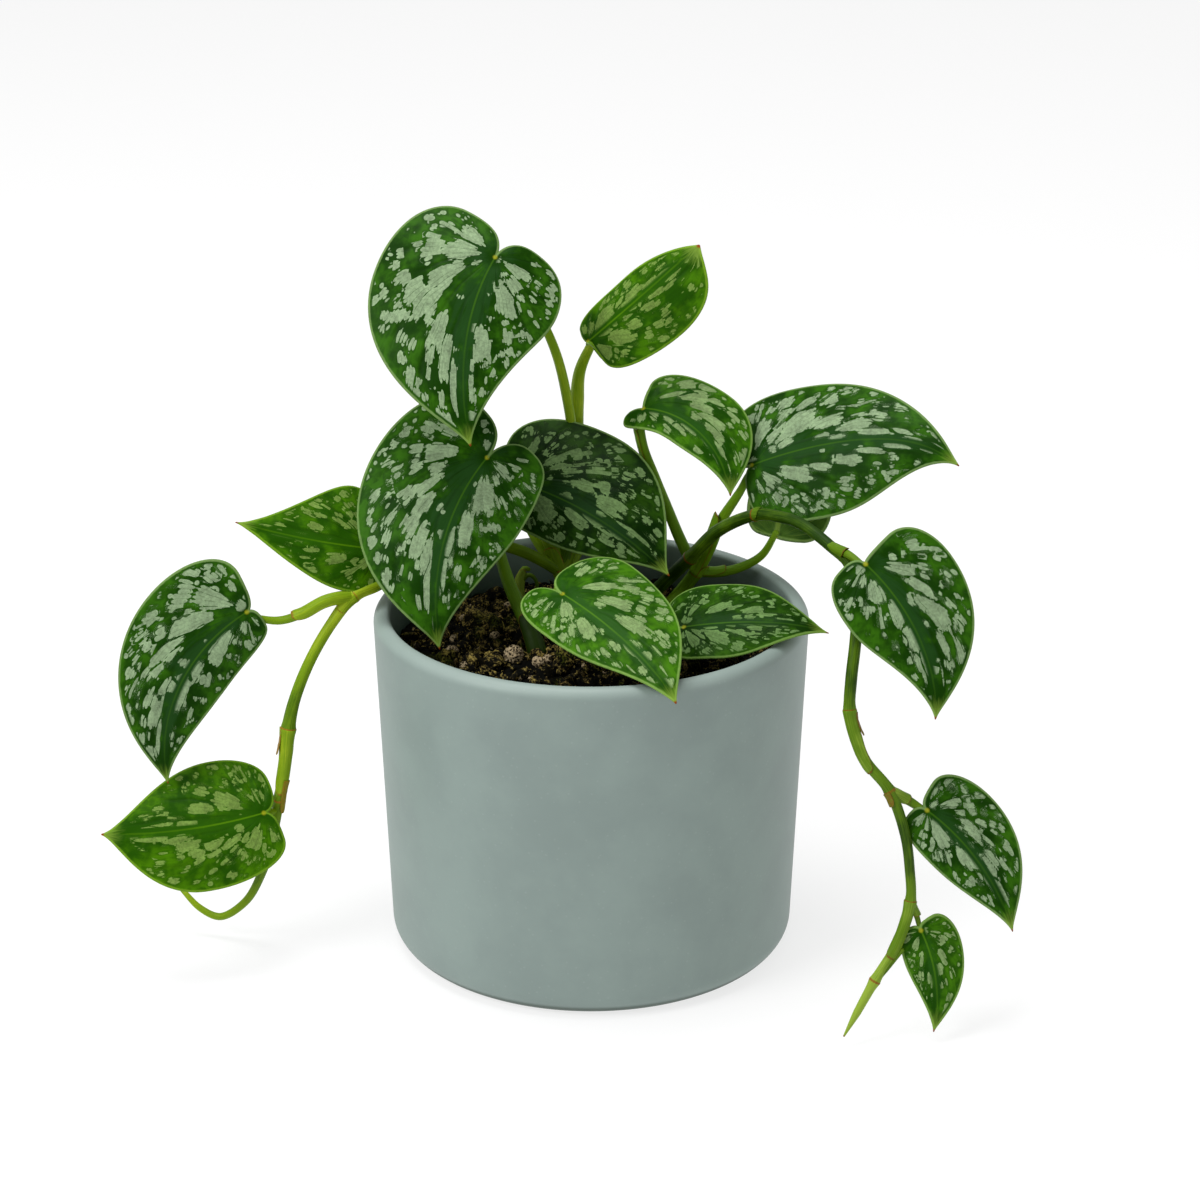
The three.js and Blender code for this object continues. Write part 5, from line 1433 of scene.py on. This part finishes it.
def randomTurns(rng, count):
    # rotation matrices from random unit quaternions (w, x, y, z)
    w, x, y, z = unit(rng.normal(size=(count, 4))).T
    return np.stack([
        np.stack([1 - 2 * (y * y + z * z), 2 * (x * y - w * z), 2 * (x * z + w * y)], -1),
        np.stack([2 * (x * y + w * z), 1 - 2 * (x * x + z * z), 2 * (y * z - w * x)], -1),
        np.stack([2 * (x * z - w * y), 2 * (y * z + w * x), 1 - 2 * (x * x + y * y)], -1),
    ], 1)


def scattered(rng, count, sizes, stretch, roughness, detail, sunk, places=None):
    # copies of a rough lump: corners go out by size (1 + roughness draw), are stretched, turned and set down
    corners, faces = roundSolid(detail)
    if places is None:
        reach = soilRadius(soilShape["level"]) - soilShape["margin"]
        r, a = reach * np.sqrt(rng.random(count)), 2 * pi * rng.random(count)
        places = np.column_stack([r * np.cos(a), r * np.sin(a)])
    size = rng.uniform(*sizes, count) if len(sizes) == 2 else sizes
    rough = 1 + roughness * rng.uniform(-1, 1, (count, len(corners), 1))
    body = corners[None] * rough * np.array(stretch) * size[:, None, None]
    body = np.einsum("nij,nkj->nki", randomTurns(rng, count), body)
    height = soilHeight(places[:, 0], places[:, 1]) + (0.5 - sunk) * size
    body = body + np.column_stack([places, height])[:, None]
    allFaces = (faces[None] + len(corners) * np.arange(count)[:, None, None]).reshape(-1, 3)
    # painted light: corners that stand out get a paler shade value and hollows a darker one, over a random
    # tone for each lump
    relief = (rough[..., 0] - 1) / max(roughness, 0.01)
    shade = 0.35 + 0.3 * rng.random((count, 1)) + 0.35 * relief
    return body.reshape(-1, 3), allFaces.tolist(), {"shade": shade.ravel()}


def soilFinish(name, dark, light, grain, moss=0.0):
    # painted highlight where a lump stands out and painted shade in its hollows, over its clouded grain
    f = Finish("soil " + name, Roughness=0.95, Specular_IOR_Level=0.1)
    where = f.place()
    shade = f.attribute("shade", 2)
    cloud = f.noise(where, grain, 4.0, 0.65)
    fleck = f.noise(where, grain * 4.0, 2.0)
    lit = f.step(cloud * 0.7 + shade * 0.45 + (fleck - 0.5) * 0.6, 0.58, 0.9)
    colour = f.mix(lit, dark, light)
    if moss:
        green = f.step(f.noise(where, 70.0, 2.0), 0.56, 0.66) * f.step(fleck, 0.4, 0.6)
        colour = f.mix(green * moss, colour, rgb(70, 78, 8))
    f.paint(Base_Color=f.tint(colour, 0.7 + fleck * 0.6))
    f.raised(cloud + fleck * 0.6, 0.6, 0.5 * mm)
    return f


def perliteFinish():
    # pale ridges round dark pits
    f = Finish("perlite", Roughness=0.9, Specular_IOR_Level=0.15)
    where = f.place()
    warp = f.noise(where, 500.0, 3.0)
    ridge = f.fade(f.cells(where, 900.0, 0, "DISTANCE_TO_EDGE") + (warp - 0.5) * 0.9, 0.04, 0.3)
    colour = f.mix(f.step(ridge * 0.6 + warp * 0.6, 0.3, 0.75), rgb(36, 28, 12), rgb(166, 148, 116))
    f.paint(Base_Color=colour)
    f.raised(ridge + warp * 0.5, 0.9, 0.5 * mm)
    return f


points, faces = soilBody()
shade = {"shade": np.full(len(points), 0.35)}
addPiece("potting_mix", points, faces, shade, [soilFinish(*soilLook).material], "soil", ["soil"])
rng = np.random.default_rng(soilShape["seed"])
for name, grain in grains.items():
    lots = joined([scattered(rng, *lot) for lot in grain["lots"]])
    finish = soilFinish(*grain["look"]) if "look" in grain else perliteFinish()
    addPiece(name, *lots, [finish.material], "soil", smooth=name == "perlite")
print("soil:", ", ".join(grains))


# floor, light and camera

studio = {
    "floor": rgb(142, 142, 142), "glow": 0.74,
    "sky": (1.0, 1.0, 1.0), "skyStrength": 0.46,
    "key": {"at": (-1.0, -0.7, 1.1), "size": 0.7, "power": 13.0},
    "top": {"at": (-0.2, 0.1, 1.5), "size": 0.8, "power": 13.0},
    "fill": {"at": (1.2, -0.5, 0.6), "size": 1.0, "power": 2.0},
}

floorMesh = bpy.data.meshes.new("floor")
floorMesh.from_pydata([(-6, -6, 0), (6, -6, 0), (6, 6, 0), (-6, 6, 0)], [], [(0, 1, 2, 3)])
floorPiece = bpy.data.objects.new("floor", floorMesh)
bpy.context.scene.collection.objects.link(floorPiece)
floorFinish = Finish("floor", Roughness=0.9, Specular_IOR_Level=0.1, Emission_Strength=studio["glow"])
floorFinish.paint(Base_Color=studio["floor"], Emission_Color=(1.0, 1.0, 1.0))
floorMesh.materials.append(floorFinish.material)


def addLight(name, at, size, power):
    # a round lamp that faces the plant
    data = bpy.data.lights.new(name, "AREA")
    data.shape, data.size, data.energy = "DISK", size, power
    light = bpy.data.objects.new(name, data)
    light.location = at
    light.rotation_euler = (Vector((0, 0, 0.1)) - Vector(at)).to_track_quat("-Z", "Y").to_euler()
    bpy.context.scene.collection.objects.link(light)


for name in ("key", "top", "fill"):
    addLight(name, **studio[name])

world = bpy.data.worlds.new("studio")
world.use_nodes = True
world.node_tree.nodes["Background"].inputs[0].default_value = (*studio["sky"], 1)
world.node_tree.nodes["Background"].inputs[1].default_value = studio["skyStrength"]
bpy.context.scene.world = world
bpy.context.scene.view_settings.view_transform = "Standard"

view = {"at": (2.5, -837.95, 432.39), "pitch": 21.4, "focal": 3136, "frame": 1200, "sensor": 36}
cameraData = bpy.data.cameras.new("camera")
cameraData.sensor_width = view["sensor"]
cameraData.lens = view["focal"] * view["sensor"] / view["frame"]
camera = bpy.data.objects.new("camera", cameraData)
camera.location = [value * mm for value in view["at"]]
camera.rotation_euler = (radians(90 - view["pitch"]), 0, 0)
bpy.context.scene.collection.objects.link(camera)
bpy.context.scene.camera = camera
